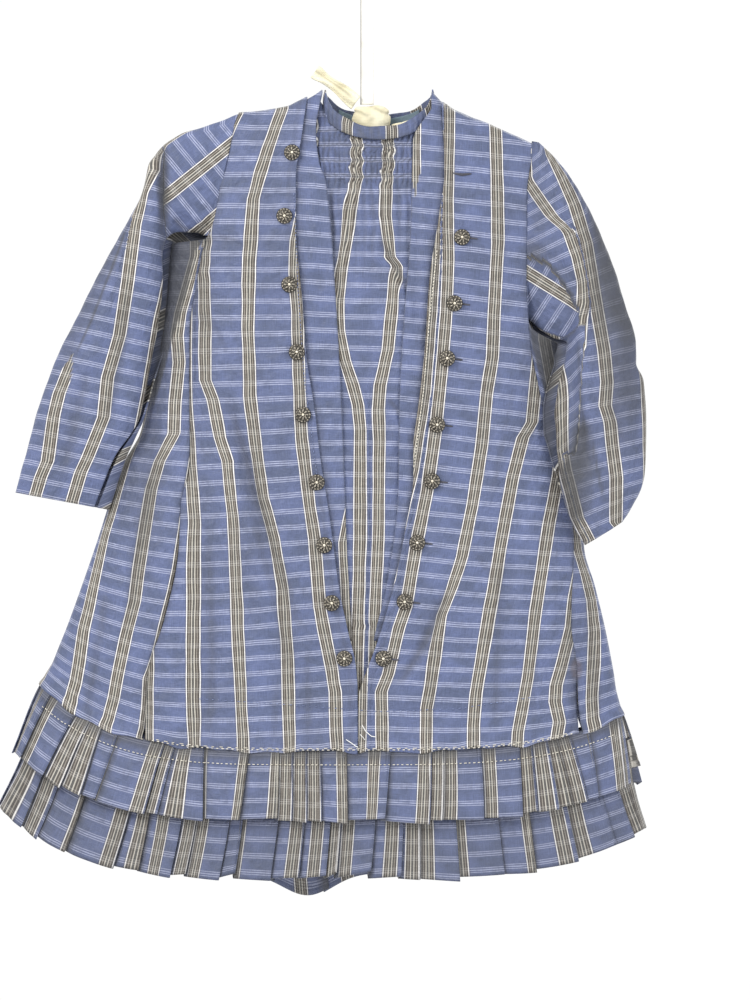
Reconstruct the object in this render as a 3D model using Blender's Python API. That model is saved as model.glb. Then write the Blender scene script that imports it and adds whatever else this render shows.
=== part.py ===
"""A child's bustle-era day dress on its padded hanger, hanging from a tape loop.

Metres, +Z up. The origin is the top of the tape loop, where a hook holds the dress up. The fronts
face -Y, and right and left are the wearer's, so right is -X. Heights are nominal: a ring of the
skirt rises from its front towards both sides by the body table's rises.
"""
import bpy
import numpy as np
from math import pi

WALL = 0.0012            # thickness of every cloth wall
SEAM_GAP = 0.0004        # between two pieces that are sewn edge to edge
ARMHOLE_GAP = 0.0010     # between a sleeve's head and the curved armhole
LAYER = 0.0023           # from one layer of the front to the next one under it
SHOULDER_ROUND = 0.042   # how far below the shoulder line the cloth turns flat
HEM = -0.676             # nominal height where the skirt panels end, under the flounces
FLOUNCE_LINE = -0.638    # nominal height where the upper flounce is sewn on
LOWER_LINE = -0.668      # nominal height where the lower flounce is sewn on
VEST_POINT = -0.600      # nominal height where the vest ends, hidden under the closed fronts
STRIP_POINT = -0.548     # nominal height where its two strips run out
VEST_CHEST = -0.190      # nominal height where their upper rows begin
ARMPIT_RIGHT = -0.2265    # where the seams of the side panels meet the armholes
ARMPIT_LEFT = -0.2935
ARMHOLE_DIP_RIGHT = 0.003  # how far each armhole dips between those two seams
ARMHOLE_DIP_LEFT = 0.017
RING_POWER = 0.8         # below 1 the rings are flatter in front than an ellipse
BACK_SIDE = 0.86         # where the back seams run, as a share of the half width
BUTTON_RADIUS = 0.0065
BUTTON_HEIGHT = 0.0046
BUTTON_SIDES = 8
TAPE_WIDTH = 0.011
TAPE_THICKNESS = 0.0012


def table(columns, *rows):
    """Each named column of the rows as one array."""
    return dict(zip(columns.split(), np.array(rows, float).T))


# The closed ring of the body at each nominal height: its outline on both sides, its depth in
# front and behind, where its outline lies in depth, and how far the ring rises at each side.
BODY = table(
    "height right left front back middle rise_right rise_left",
    (-0.740, -0.282, 0.213, 0.056, 0.056, 0.000, 0.054, 0.038),
    (-0.690, -0.268, 0.212, 0.052, 0.052, 0.000, 0.052, 0.027),
    (-0.638, -0.258, 0.207, 0.050, 0.050, 0.000, 0.051, 0.026),
    (-0.596, -0.248, 0.200, 0.048, 0.048, 0.000, 0.035, 0.018),
    (-0.556, -0.236, 0.193, 0.046, 0.045, 0.000, 0.024, 0.011),
    (-0.484, -0.215, 0.174, 0.041, 0.038, 0.002, 0.012, 0.004),
    (-0.412, -0.194, 0.164, 0.036, 0.032, 0.007, 0.004, 0.001),
    (-0.380, -0.176, 0.160, 0.034, 0.030, 0.012, 0.001, 0.000),
    (-0.300, -0.169, 0.157, 0.031, 0.027, 0.012, 0.000, 0.000),
    (-0.262, -0.163, 0.147, 0.029, 0.025, 0.010, 0.000, 0.000),
    (-0.224, -0.156, 0.143, 0.027, 0.024, 0.006, 0.000, 0.000),
    (-0.180, -0.129, 0.146, 0.023, 0.021, 0.002, 0.000, 0.000),
    (-0.125, -0.116, 0.147, 0.019, 0.018, 0.000, 0.000, 0.000),
    (-0.090, -0.113, 0.138, 0.016, 0.016, 0.000, 0.000, 0.000),
)
SHOULDER = table(
    "x height",
    (-0.103, -0.125), (-0.079, -0.122), (-0.063, -0.119), (-0.048, -0.111), (-0.034, -0.105),
    (-0.012, -0.095), (0.035, -0.095), (0.053, -0.105), (0.064, -0.120), (0.092, -0.130),
    (0.134, -0.149),
)
# The edges of the panels, from the hem up.
FRONT_EDGE_RIGHT = table(
    "height x",
    (-0.676, -0.0075), (-0.588, -0.0075), (-0.567, -0.009), (-0.541, -0.015), (-0.507, -0.022),
    (-0.448, -0.030), (-0.396, -0.038), (-0.362, -0.042), (-0.317, -0.049), (-0.273, -0.052),
    (-0.219, -0.057), (-0.180, -0.057), (-0.142, -0.052), (-0.112, -0.048),
)
FRONT_EDGE_LEFT = table(
    "height x",
    (-0.676, -0.0065), (-0.592, -0.0065), (-0.580, -0.003), (-0.547, 0.009), (-0.501, 0.022),
    (-0.462, 0.030), (-0.417, 0.037), (-0.394, 0.037), (-0.362, 0.041), (-0.318, 0.046),
    (-0.260, 0.050), (-0.206, 0.058), (-0.174, 0.062), (-0.120, 0.061),
)
SIDE_SEAM_RIGHT = table(
    "height x",
    (-0.676, -0.178), (-0.615, -0.176), (-0.578, -0.174), (-0.534, -0.161), (-0.478, -0.150),
    (-0.442, -0.149), (-0.407, -0.142), (-0.300, -0.142), (-0.260, -0.136), (-0.230, -0.130),
    (-0.209, -0.122), (-0.180, -0.117), (-0.158, -0.114), (-0.125, -0.103),
)
SIDE_SEAM_LEFT = table(
    "height x",
    (-0.676, 0.170), (-0.580, 0.168), (-0.539, 0.163), (-0.474, 0.166), (-0.412, 0.154),
    (-0.348, 0.138), (-0.312, 0.131), (-0.252, 0.128), (-0.196, 0.128), (-0.149, 0.134),
)
STRIP_EDGE_RIGHT = table(
    "height x",
    (-0.600, -0.012), (-0.574, -0.010), (-0.541, -0.012), (-0.474, -0.016), (-0.368, -0.020),
    (-0.260, -0.026), (-0.180, -0.033), (-0.167, -0.038), (-0.139, -0.041), (-0.108, -0.036),
)
STRIP_EDGE_LEFT = table(
    "height x",
    (-0.600, -0.002), (-0.574, 0.001), (-0.540, 0.007), (-0.508, 0.015), (-0.428, 0.025),
    (-0.356, 0.026), (-0.300, 0.029), (-0.220, 0.035), (-0.148, 0.037), (-0.122, 0.052),
)
# The top edges, from the inner end of a panel to its outer end.
TOP_FRONT_RIGHT = table(
    "x height",
    (-0.048, -0.112), (-0.062, -0.119), (-0.076, -0.122), (-0.103, -0.125),
)
TOP_FRONT_LEFT = table(
    "x height",
    (0.061, -0.120), (0.089, -0.130), (0.108, -0.138), (0.134, -0.149),
)
TOP_STRIP_RIGHT = table(
    "x height",
    (-0.036, -0.108), (-0.042, -0.112), (-0.046, -0.115), (-0.053, -0.119),
)
TOP_STRIP_LEFT = table(
    "x height",
    (0.052, -0.122), (0.056, -0.120), (0.061, -0.120), (0.066, -0.122),
)
TOP_VEST = table(
    "x height",
    (-0.040, -0.130), (-0.030, -0.140), (-0.014, -0.145), (0.008, -0.148), (0.030, -0.145),
    (0.046, -0.130),
)
TOP_BACK = table(
    "x height",
    (-0.103, -0.125), (-0.066, -0.120), (-0.044, -0.112), (-0.034, -0.120), (-0.016, -0.130),
    (0.010, -0.133), (0.036, -0.131), (0.052, -0.121), (0.062, -0.121), (0.095, -0.132),
    (0.134, -0.149),
)
# The sleeves in rows from the armhole to the cuff. Each row runs from its inner end to its outer
# end, bowed towards the body, and bulges in front of and behind its middle plane. The seam of
# the under sleeve comes round to the front by the last column's share of the width.
SLEEVE_RIGHT = table(
    "inner_x inner_z outer_x outer_z bow middle front back seam",
    (-0.1300, -0.224, -0.1035, -0.1255, 0.003, 0.000, 0.011, 0.012, 0.00),
    (-0.139, -0.221, -0.128, -0.135, 0.002, 0.000, 0.014, 0.014, 0.00),
    (-0.152, -0.221, -0.150, -0.142, 0.000, -0.001, 0.016, 0.015, 0.00),
    (-0.162, -0.228, -0.170, -0.158, 0.000, -0.003, 0.016, 0.015, 0.00),
    (-0.164, -0.241, -0.179, -0.191, 0.000, -0.006, 0.016, 0.014, 0.00),
    (-0.164, -0.266, -0.206, -0.242, 0.000, -0.008, 0.016, 0.014, 0.00),
    (-0.168, -0.298, -0.227, -0.286, 0.000, -0.009, 0.016, 0.014, 0.00),
    (-0.174, -0.330, -0.246, -0.322, 0.000, -0.009, 0.016, 0.014, 0.00),
    (-0.180, -0.370, -0.263, -0.361, 0.000, -0.009, 0.017, 0.014, 0.02),
    (-0.194, -0.405, -0.274, -0.400, 0.000, -0.009, 0.016, 0.013, 0.10),
    (-0.2065, -0.444, -0.282, -0.430, 0.000, -0.008, 0.014, 0.012, 0.14),
)
SLEEVE_LEFT = table(
    "inner_x inner_z outer_x outer_z bow middle front back seam",
    (0.1290, -0.290, 0.1345, -0.149, 0.005, 0.000, 0.011, 0.012, 0.00),
    (0.139, -0.299, 0.149, -0.162, 0.003, -0.002, 0.014, 0.014, 0.00),
    (0.150, -0.306, 0.164, -0.179, 0.001, -0.005, 0.015, 0.014, 0.00),
    (0.160, -0.310, 0.181, -0.210, 0.000, -0.008, 0.016, 0.014, 0.00),
    (0.159, -0.321, 0.197, -0.246, 0.000, -0.012, 0.016, 0.013, 0.00),
    (0.153, -0.344, 0.208, -0.279, 0.000, -0.018, 0.015, 0.012, 0.00),
    (0.150, -0.367, 0.217, -0.310, 0.000, -0.023, 0.015, 0.011, 0.00),
    (0.151, -0.388, 0.220, -0.338, 0.000, -0.026, 0.014, 0.010, 0.00),
    (0.153, -0.411, 0.223, -0.380, 0.000, -0.028, 0.014, 0.009, 0.00),
    (0.156, -0.432, 0.222, -0.416, 0.000, -0.029, 0.014, 0.009, 0.00),
    (0.164, -0.455, 0.214, -0.443, 0.000, -0.029, 0.013, 0.009, 0.00),
    (0.174, -0.472, 0.206, -0.455, 0.000, -0.029, 0.012, 0.009, 0.00),
)
# Each flounce from its sewn line to its free edge: how far it has fallen, how far its ring stands
# off the skirt, how deep its pleats are and how much lower it hangs behind.
FLOUNCE_UPPER = table(
    "fall off pleat back_drop",
    (0.000, 0.0019, 0.0004, 0.000),
    (0.026, 0.0062, 0.0024, 0.002),
    (0.052, 0.0100, 0.0034, 0.004),
)
FLOUNCE_LOWER = table(
    "fall off pleat back_drop",
    (0.000, 0.0019, 0.0004, 0.000),
    (0.030, 0.0034, 0.0020, 0.004),
    (0.066, 0.0090, 0.0036, 0.014),
)
# The neck from the collar's sewn edge up, and the lining that shows inside its back.
NECK_CENTRE = 0.0096
COLLAR = table(
    "half side_z front_z back_z front_y back_y",
    (0.0436, -0.1185, -0.1470, -0.1315, 0.0200, 0.0165),
    (0.0440, -0.1130, -0.1420, -0.1285, 0.0195, 0.0165),
    (0.0428, -0.1065, -0.1370, -0.1255, 0.0185, 0.0160),
)
LINING = table(
    "half side_z front_z back_z front_y back_y",
    (0.0400, -0.1380, 0.0, -0.1545, 0.0, 0.0135),
    (0.0400, -0.1240, 0.0, -0.1405, 0.0, 0.0135),
    (0.0400, -0.1120, 0.0, -0.1285, 0.0, 0.0135),
)
LINING_WALL = 0.001
SIDE_ROOM = 0.0012       # how much further the flounces stand off at the sides
PLEATS = 34
PLEAT_TURN = 0.84        # share of a pleat that its flat face takes
BUTTONS_RIGHT = table(
    "x z",
    (-0.060, -0.158), (-0.066, -0.209), (-0.062, -0.264), (-0.056, -0.318), (-0.051, -0.368),
    (-0.040, -0.422), (-0.034, -0.472), (-0.028, -0.518), (-0.018, -0.562),
)
BUTTONS_LEFT = table(
    "x z",
    (0.076, -0.226), (0.070, -0.279), (0.064, -0.323), (0.056, -0.376), (0.052, -0.421),
    (0.040, -0.470), (0.030, -0.517), (0.013, -0.562),
)
BUTTON_DOME = table("radius height", (1.00, 0.00), (1.00, 0.25), (0.78, 0.70), (0.36, 0.95))
BUTTON_OFF = 0.0010      # from the front's cloth to the back of a button
SLEEVE_SEAM = 1.45 * pi  # where the two sleeve pieces meet behind, turned from the inner end
SLEEVE_SEAM_TURN = 0.05  # the turn left between them at each seam
UNDERLAP = 0.0035        # how far the vest and its strips reach under the piece over them
HANGER_ARM_RIGHT = table(
    "x z radius",
    (-0.0135, -0.1385, 0.0048), (-0.035, -0.1340, 0.0056), (-0.060, -0.1340, 0.0060),
    (-0.090, -0.1420, 0.0052),
)
HANGER_ARM_LEFT = table(
    "x z radius",
    (0.0205, -0.1385, 0.0048), (0.045, -0.1350, 0.0056), (0.075, -0.1430, 0.0060),
    (0.112, -0.1610, 0.0052),
)
WRAP_CENTRE = (0.0035, 0.0, -0.1325)
WRAP_SIZE = (0.031, 0.015, 0.027)
TAPE_FOOT = -0.1182      # just above the wrapped middle
LOOP_LOW = -0.030
LOOP_DEPTH = 0.0045      # half of the tape loop's depth
# The free end of the wrapping, from the wrapped middle up to its tip.
TIE_END = table(
    "x z width",
    (-0.0125, -0.1130, 0.012), (-0.022, -0.1060, 0.010), (-0.034, -0.0975, 0.009),
    (-0.042, -0.0920, 0.010),
)
TIE_SLOPE = 0.63         # radians from level
TIE_Y = -0.004


def smooth(at, xs, ys):
    """A smooth curve through the points, xs rising, that never swings past a neighbour."""
    at = np.clip(at, xs[0], xs[-1])
    step = np.diff(xs)
    slope = np.diff(ys) / step
    same_way = slope[:-1] * slope[1:] > 0
    total = np.where(same_way, slope[:-1] + slope[1:], 1.0)
    inner = np.where(same_way, 2 * slope[:-1] * slope[1:] / total, 0.0)
    tangent = np.concatenate([slope[:1], inner, slope[-1:]])
    i = np.clip(np.searchsorted(xs, at, side="right") - 1, 0, len(xs) - 2)
    t = (at - xs[i]) / step[i]
    near = (1 + 2 * t) * (1 - t) ** 2 * ys[i] + t * (1 - t) ** 2 * step[i] * tangent[i]
    far = t * t * (3 - 2 * t) * ys[i + 1] + t * t * (t - 1) * step[i] * tangent[i + 1]
    return near + far


def along(curve, share):
    """Points (x, height) of a top edge at these shares of its length."""
    length = np.hypot(np.diff(curve["x"]), np.diff(curve["height"]))
    at = np.concatenate([[0.0], np.cumsum(length)]) / length.sum()
    return np.interp(share, at, curve["x"]), np.interp(share, at, curve["height"])


def mix(a, b, share):
    return a + (b - a) * share


def body_value(name, height):
    return smooth(height, BODY["height"], BODY[name])


def body_point(x, height, back=False, inward=0.0):
    """Points of the body's ring where x and the nominal height are given."""
    right, left = body_value("right", height), body_value("left", height)
    share = np.clip((2 * x - right - left) / (left - right), -1.0, 1.0)
    bulge = (1 - share**2) ** (RING_POWER / 2)
    middle = body_value("middle", height)
    if back:
        y = middle + (body_value("back", height) - middle) * bulge
    else:
        y = middle - (body_value("front", height) + middle) * bulge
    drop = np.clip((np.interp(x, SHOULDER["x"], SHOULDER["height"]) - height) / SHOULDER_ROUND, 0, 1)
    rounded = np.sqrt(1 - (1 - drop) ** 2)
    y = y * rounded + (-inward if back else inward) * np.minimum(1, rounded * 2)
    y = y + (SEAM_GAP / 2 if back else -SEAM_GAP / 2)
    rise = np.where(share < 0, body_value("rise_right", height), body_value("rise_left", height))
    return np.stack([x, y, height + rise * share**4], axis=-1)


def wall_object(name, outer, material, closed=False, flip=False, thickness=WALL, stay=0):
    """A cloth wall: the grid of outer points, its inner copy, and the rims between them.

    stay is -1 or 1 for a wall that must not cross the shoulder seam's plane from that side.
    """
    rows, columns = outer.shape[:2]
    if closed:
        round_it = np.concatenate([outer[:, -1:], outer, outer[:, :1]], axis=1)
        across = round_it[:, 2:] - round_it[:, :-2]
    else:
        across = np.gradient(outer, axis=1)
    up = np.gradient(outer, axis=0)
    normal = np.cross(across, up)
    normal /= np.linalg.norm(normal, axis=-1, keepdims=True)
    inner = outer + normal * (thickness if flip else -thickness)
    if stay:
        inner[..., 1] = stay * np.maximum(stay * inner[..., 1], SEAM_GAP / 2)
    points = np.concatenate([outer.reshape(-1, 3), inner.reshape(-1, 3)])
    index = np.arange(rows * columns).reshape(rows, columns)
    wrap = [*range(columns), 0] if closed else [*range(columns)]
    index = index[:, wrap]
    deep = index + rows * columns
    faces = []

    def strip(a, b):
        for i in range(len(a) - 1):
            faces.append((a[i], a[i + 1], b[i + 1], b[i]))

    for row in range(rows - 1):
        strip(index[row], index[row + 1])
        strip(deep[row + 1], deep[row])
    strip(deep[0], index[0])
    strip(index[-1], deep[-1])
    if not closed:
        strip(index[:, 0], deep[:, 0])
        strip(deep[:, -1], index[:, -1])
    if flip:
        faces = [face[::-1] for face in faces]
    return mesh_object(name, points, faces, material)


def mesh_object(name, points, faces, material):
    mesh = bpy.data.meshes.new(name)
    mesh.from_pydata([tuple(map(float, p)) for p in points], [], [tuple(map(int, f)) for f in faces])
    mesh.materials.append(material)
    mesh.shade_smooth()
    mesh.set_sharp_from_angle(angle=pi / 5)
    mesh.update()
    made = bpy.data.objects.new(name, mesh)
    bpy.context.scene.collection.objects.link(made)
    return made


def finish(name, colour, roughness, metallic=0.0):
    material = bpy.data.materials.new(name)
    material.use_nodes = True
    shader = material.node_tree.nodes["Principled BSDF"]
    shader.inputs["Base Color"].default_value = (*colour, 1.0)
    shader.inputs["Roughness"].default_value = roughness
    shader.inputs["Metallic"].default_value = metallic
    return material


def panel(edge_in, edge_out, top, heights_in, heights_out, columns, upper_rows, gap_in, gap_out):
    """(x, height) of a panel between two edges: rows at the given heights, then rows up to its top."""
    u = np.linspace(0, 1, columns)
    way = 1 if edge_out["x"][-1] > edge_in["x"][-1] else -1
    top_x, top_height = along(top, u)
    xs, heights = [], []
    for low_in, low_out in zip(heights_in, heights_out):
        x_in = smooth(low_in, edge_in["height"], edge_in["x"]) + way * gap_in
        x_out = smooth(low_out, edge_out["height"], edge_out["x"]) - way * gap_out
        xs.append(mix(x_in, x_out, u))
        heights.append(mix(low_in, low_out, u))
    for t in upper_rows:
        h_in = mix(heights_in[-1], top_height[0], t)
        h_out = mix(heights_out[-1], top_height[-1], t)
        x_in = smooth(h_in, edge_in["height"], edge_in["x"]) + way * gap_in
        x_out = smooth(h_out, edge_out["height"], edge_out["x"]) - way * gap_out
        bow = t * (top_x - mix(top_x[0], top_x[-1], u))
        xs.append(mix(x_in, x_out, u) + bow)
        flat = mix(heights_in[-1], heights_out[-1], u)
        heights.append(mix(flat, top_height, t))
    return np.array(xs), np.array(heights)


def front_panels(cloth):
    """The two fronts, from the front edge to the side seam and the armhole."""
    upper = (0.25, 0.5, 0.72, 0.87, 0.96, 1.0)
    sides = (
        ("front_right", FRONT_EDGE_RIGHT, SIDE_SEAM_RIGHT, TOP_FRONT_RIGHT, ARMPIT_RIGHT, True),
        ("front_left", FRONT_EDGE_LEFT, SIDE_SEAM_LEFT, TOP_FRONT_LEFT, ARMPIT_LEFT, False),
    )
    for name, edge_in, edge_out, top, armpit, flip in sides:
        heights = np.linspace(HEM, armpit, 12)
        x, height = panel(
            edge_in, edge_out, top, heights, heights, 9, upper, SEAM_GAP / 2, SEAM_GAP / 2
        )
        wall_object(name, body_point(x, height), cloth, flip=flip, stay=-1)


def side_panels(cloth):
    """The side panels, round the outline from the front seam to the back seam, dipping at the top."""
    columns = 8
    dipping = np.sqrt(np.sin(np.linspace(0, pi, columns)).clip(0))
    for name, seam, armpit, dip, way in (
        ("side_right", SIDE_SEAM_RIGHT, ARMPIT_RIGHT, ARMHOLE_DIP_RIGHT, -1),
        ("side_left", SIDE_SEAM_LEFT, ARMPIT_LEFT, ARMHOLE_DIP_LEFT, 1),
    ):
        rows = []
        for height in np.linspace(HEM, armpit, 12):
            right, left = body_value("right", height), body_value("left", height)
            middle, half = (left + right) / 2, (left - right) / 2
            start = np.arcsin(abs(smooth(height, seam["height"], seam["x"]) - middle) / half)
            start += SEAM_GAP / 2 / (half * np.cos(start))
            stop = pi - np.arcsin(BACK_SIDE) - SEAM_GAP / 2 / (half * np.sqrt(1 - BACK_SIDE**2))
            angle = np.linspace(start, stop, columns)
            x = middle + way * half * np.sin(angle)
            ahead = body_point(x, np.full(columns, height))
            behind = body_point(x, np.full(columns, height), back=True)
            row = np.where((angle > pi / 2)[:, None], behind, ahead)
            row[:, 2] -= dip * dipping * ((height - HEM) / (armpit - HEM)) ** 6
            rows.append(row)
        wall_object(name, np.array(rows), cloth, flip=way < 0)


def back_panel(cloth):
    """The back in one piece, from seam to seam and up to the shoulders and the neck."""
    heights_right = np.linspace(HEM, ARMPIT_RIGHT, 12)
    heights_left = np.linspace(HEM, ARMPIT_LEFT, 12)

    def back_edge(heights, side_seam, way):
        """The back seam up to the armpit, then the armhole, which the front has too."""
        right, left = body_value("right", heights), body_value("left", heights)
        seam = (left + right) / 2 + way * BACK_SIDE * (left - right) / 2
        upper = side_seam["height"] > heights[-1] + 0.010
        above = np.append(heights[-1] + 0.002, side_seam["height"][upper])
        armhole = smooth(above, side_seam["height"], side_seam["x"]) - way * 2 * ARMHOLE_GAP
        return {"height": np.append(heights, above), "x": np.append(seam, armhole)}

    edge_right = back_edge(heights_right, SIDE_SEAM_RIGHT, -1)
    edge_left = back_edge(heights_left, SIDE_SEAM_LEFT, 1)
    x, height = panel(
        edge_right, edge_left, TOP_BACK, heights_right, heights_left, 15,
        (0.026, 0.36, 0.64, 0.84, 0.95, 1.0), SEAM_GAP / 2, SEAM_GAP / 2,
    )
    wall_object("back", body_point(x, height, back=True), cloth, flip=True, stay=1)


def vest_pieces(cloth):
    """The gathered vest under both fronts, and a flat strip over each of its edges."""
    heights = np.linspace(VEST_POINT, VEST_CHEST, 9)
    x, height = panel(
        STRIP_EDGE_RIGHT, STRIP_EDGE_LEFT, TOP_VEST, heights, heights, 8,
        (0.4, 0.75, 1.0), -UNDERLAP, -UNDERLAP,
    )
    wall_object("vest", body_point(x, height, inward=2 * LAYER), cloth)
    sides = (
        ("vest_strip_right", STRIP_EDGE_RIGHT, FRONT_EDGE_RIGHT, TOP_STRIP_RIGHT, True),
        ("vest_strip_left", STRIP_EDGE_LEFT, FRONT_EDGE_LEFT, TOP_STRIP_LEFT, False),
    )
    heights = np.linspace(STRIP_POINT, VEST_CHEST, 9)
    for name, edge_in, edge_out, top, flip in sides:
        x, height = panel(
            edge_in, edge_out, top, heights, heights, 4, (0.4, 0.75, 0.92, 1.0), 0.0, -UNDERLAP
        )
        wall_object(name, body_point(x, height, inward=LAYER), cloth, flip=flip, stay=-1)


def neck_rings(rows, angle):
    """The rings of a piece round the neck: angle 0 is the front and pi the back."""
    cell = {name: value[:, None] for name, value in rows.items()}
    ahead, facing = np.cos(angle) > 0, np.abs(np.cos(angle))
    end_z = np.where(ahead, cell["front_z"], cell["back_z"])
    x = NECK_CENTRE + cell["half"] * np.sin(angle)
    y = np.where(ahead, -cell["front_y"], cell["back_y"]) * facing**0.9
    z = cell["side_z"] + (end_z - cell["side_z"]) * facing**1.1
    return np.stack([x, y, z], axis=-1)


def collar_and_lining(cloth, lining):
    """The standing collar round the neck, and the strip of lining behind it."""
    around = np.linspace(0, 2 * pi, 24, endpoint=False)
    wall_object("collar", neck_rings(COLLAR, around), cloth, closed=True)
    behind = np.linspace(1.30 * pi, 0.70 * pi, 9)
    wall_object("neck_lining", neck_rings(LINING, behind), lining, thickness=LINING_WALL)


def sleeve_pieces(cloth):
    """Each sleeve in two pieces: the upper one in front and round the outside, the under one behind."""
    turn, gap = SLEEVE_SEAM, SLEEVE_SEAM_TURN
    for side, rows, armhole, way in (
        ("right", SLEEVE_RIGHT, SIDE_SEAM_RIGHT, -1),
        ("left", SLEEVE_LEFT, SIDE_SEAM_LEFT, 1),
    ):
        seam = np.arccos(1 - 2 * rows["seam"])
        for piece, start, stop, columns in (
            ("upper_sleeve", seam + gap, np.full_like(seam, turn - gap), 13),
            ("under_sleeve", np.full_like(seam, turn + gap), 2 * pi + seam - gap, 7),
        ):
            angle = mix(start[:, None], stop[:, None], np.linspace(0, 1, columns))
            across = (1 - np.cos(angle)) / 2
            cell = {name: value[:, None] for name, value in rows.items()}
            x = mix(cell["inner_x"], cell["outer_x"], across) - way * cell["bow"] * np.sin(pi * across)
            z = mix(cell["inner_z"], cell["outer_z"], across)
            depth = np.where(np.sin(angle) > 0, cell["front"], cell["back"])
            y = cell["middle"] - depth * np.sign(np.sin(angle)) * np.abs(np.sin(angle)) ** 0.9
            x[0] = smooth(z[0], armhole["height"], armhole["x"]) + way * ARMHOLE_GAP
            sewn_front, sewn_back = body_point(x[0], z[0]), body_point(x[0], z[0], back=True)
            y[0] = np.where(np.sin(angle[0]) > 0, sewn_front[:, 1], sewn_back[:, 1])
            wall_object(f"{piece}_{side}", np.stack([x, y, z], axis=-1), cloth, flip=way > 0)


def flounce(name, line, rows, start, cloth):
    """A ring of knife pleats, sewn on at a nominal height and falling from there."""
    corner = np.arange(2 * PLEATS)
    phase = start + (corner // 2 + np.where(corner % 2, PLEAT_TURN, 0.0)) / PLEATS
    high = np.where(corner % 2, 1.0, 0.0)
    share, facing = np.sin(2 * pi * phase), np.cos(2 * pi * phase)
    grid = []
    for fall, off, pleat, back_drop in zip(rows["fall"], rows["off"], rows["pleat"], rows["back_drop"]):
        height = np.full(share.shape, line - fall)
        right, left = body_value("right", height), body_value("left", height)
        x = (left + right) / 2 + (left - right) / 2 * share
        ring = np.where((facing > 0)[:, None], body_point(x, height), body_point(x, height, back=True))
        out = off + pleat * high
        ring[:, 0] += (out + SIDE_ROOM) * share
        ring[:, 1] -= out * np.sign(facing) * np.abs(facing) ** 0.5
        ring[:, 2] -= np.where(facing < 0, back_drop * (1 - share**4), 0.0)
        grid.append(ring)
    return wall_object(name, np.array(grid[::-1]), cloth, closed=True)


def buttons(metal):
    """Domed openwork buttons, as plain turned domes standing on the fronts."""
    angle = np.linspace(0, 2 * pi, BUTTON_SIDES, endpoint=False)
    for side, places in (("right", BUTTONS_RIGHT), ("left", BUTTONS_LEFT)):
        for number, (x, z) in enumerate(zip(places["x"], places["z"]), 1):
            base = body_point(x, z)[1] - BUTTON_OFF
            points = [
                (
                    x + BUTTON_RADIUS * radius * np.cos(turn),
                    base - BUTTON_HEIGHT * height,
                    z + BUTTON_RADIUS * radius * np.sin(turn),
                )
                for radius, height in zip(BUTTON_DOME["radius"], BUTTON_DOME["height"])
                for turn in angle
            ]
            points.append((x, base - BUTTON_HEIGHT, z))
            rings = np.arange(len(BUTTON_DOME["radius"]) * BUTTON_SIDES).reshape(-1, BUTTON_SIDES)
            after = np.roll(rings, -1, axis=1)
            faces = [tuple(rings[0][::-1])]
            for low in range(len(rings) - 1):
                faces += list(zip(rings[low], after[low], after[low + 1], rings[low + 1]))
            faces += [(first, second, rings.size) for first, second in zip(rings[-1], after[-1])]
            mesh_object(f"button_{side}_{number}", points, faces, metal)


def tube_object(name, path, radii, material, sides=8):
    """A round bar along a path in the plane of the hanger, with flat ends."""
    path = np.array(path, float)
    way = np.gradient(path, axis=0)
    way /= np.linalg.norm(way, axis=1, keepdims=True)
    over = np.stack([-way[:, 2], np.zeros(len(way)), way[:, 0]], axis=-1)
    angle = np.linspace(0, 2 * pi, sides, endpoint=False)
    turn = angle[None, :, None]
    ring = np.cos(turn) * over[:, None] + np.sin(turn) * np.array([0, 1, 0])
    points = (path[:, None] + ring * np.array(radii)[:, None, None]).reshape(-1, 3)
    rings = np.arange(len(points)).reshape(-1, sides)
    after = np.roll(rings, -1, axis=1)
    faces = [tuple(rings[0]), tuple(rings[-1][::-1])]
    for i in range(len(rings) - 1):
        faces += list(zip(rings[i], rings[i + 1], after[i + 1], after[i]))
    return mesh_object(name, points, faces, material)


def block_object(name, centre, size, material, bevel):
    """A block with rounded edges."""
    bpy.ops.mesh.primitive_cube_add(size=1, location=centre)
    made = bpy.context.object
    made.name = name
    made.scale = size
    bpy.ops.object.transform_apply(location=False, rotation=False, scale=True)
    made.data.materials.append(material)
    round_edges = made.modifiers.new("round", "BEVEL")
    round_edges.width = bevel
    round_edges.segments = 2
    return made


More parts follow.
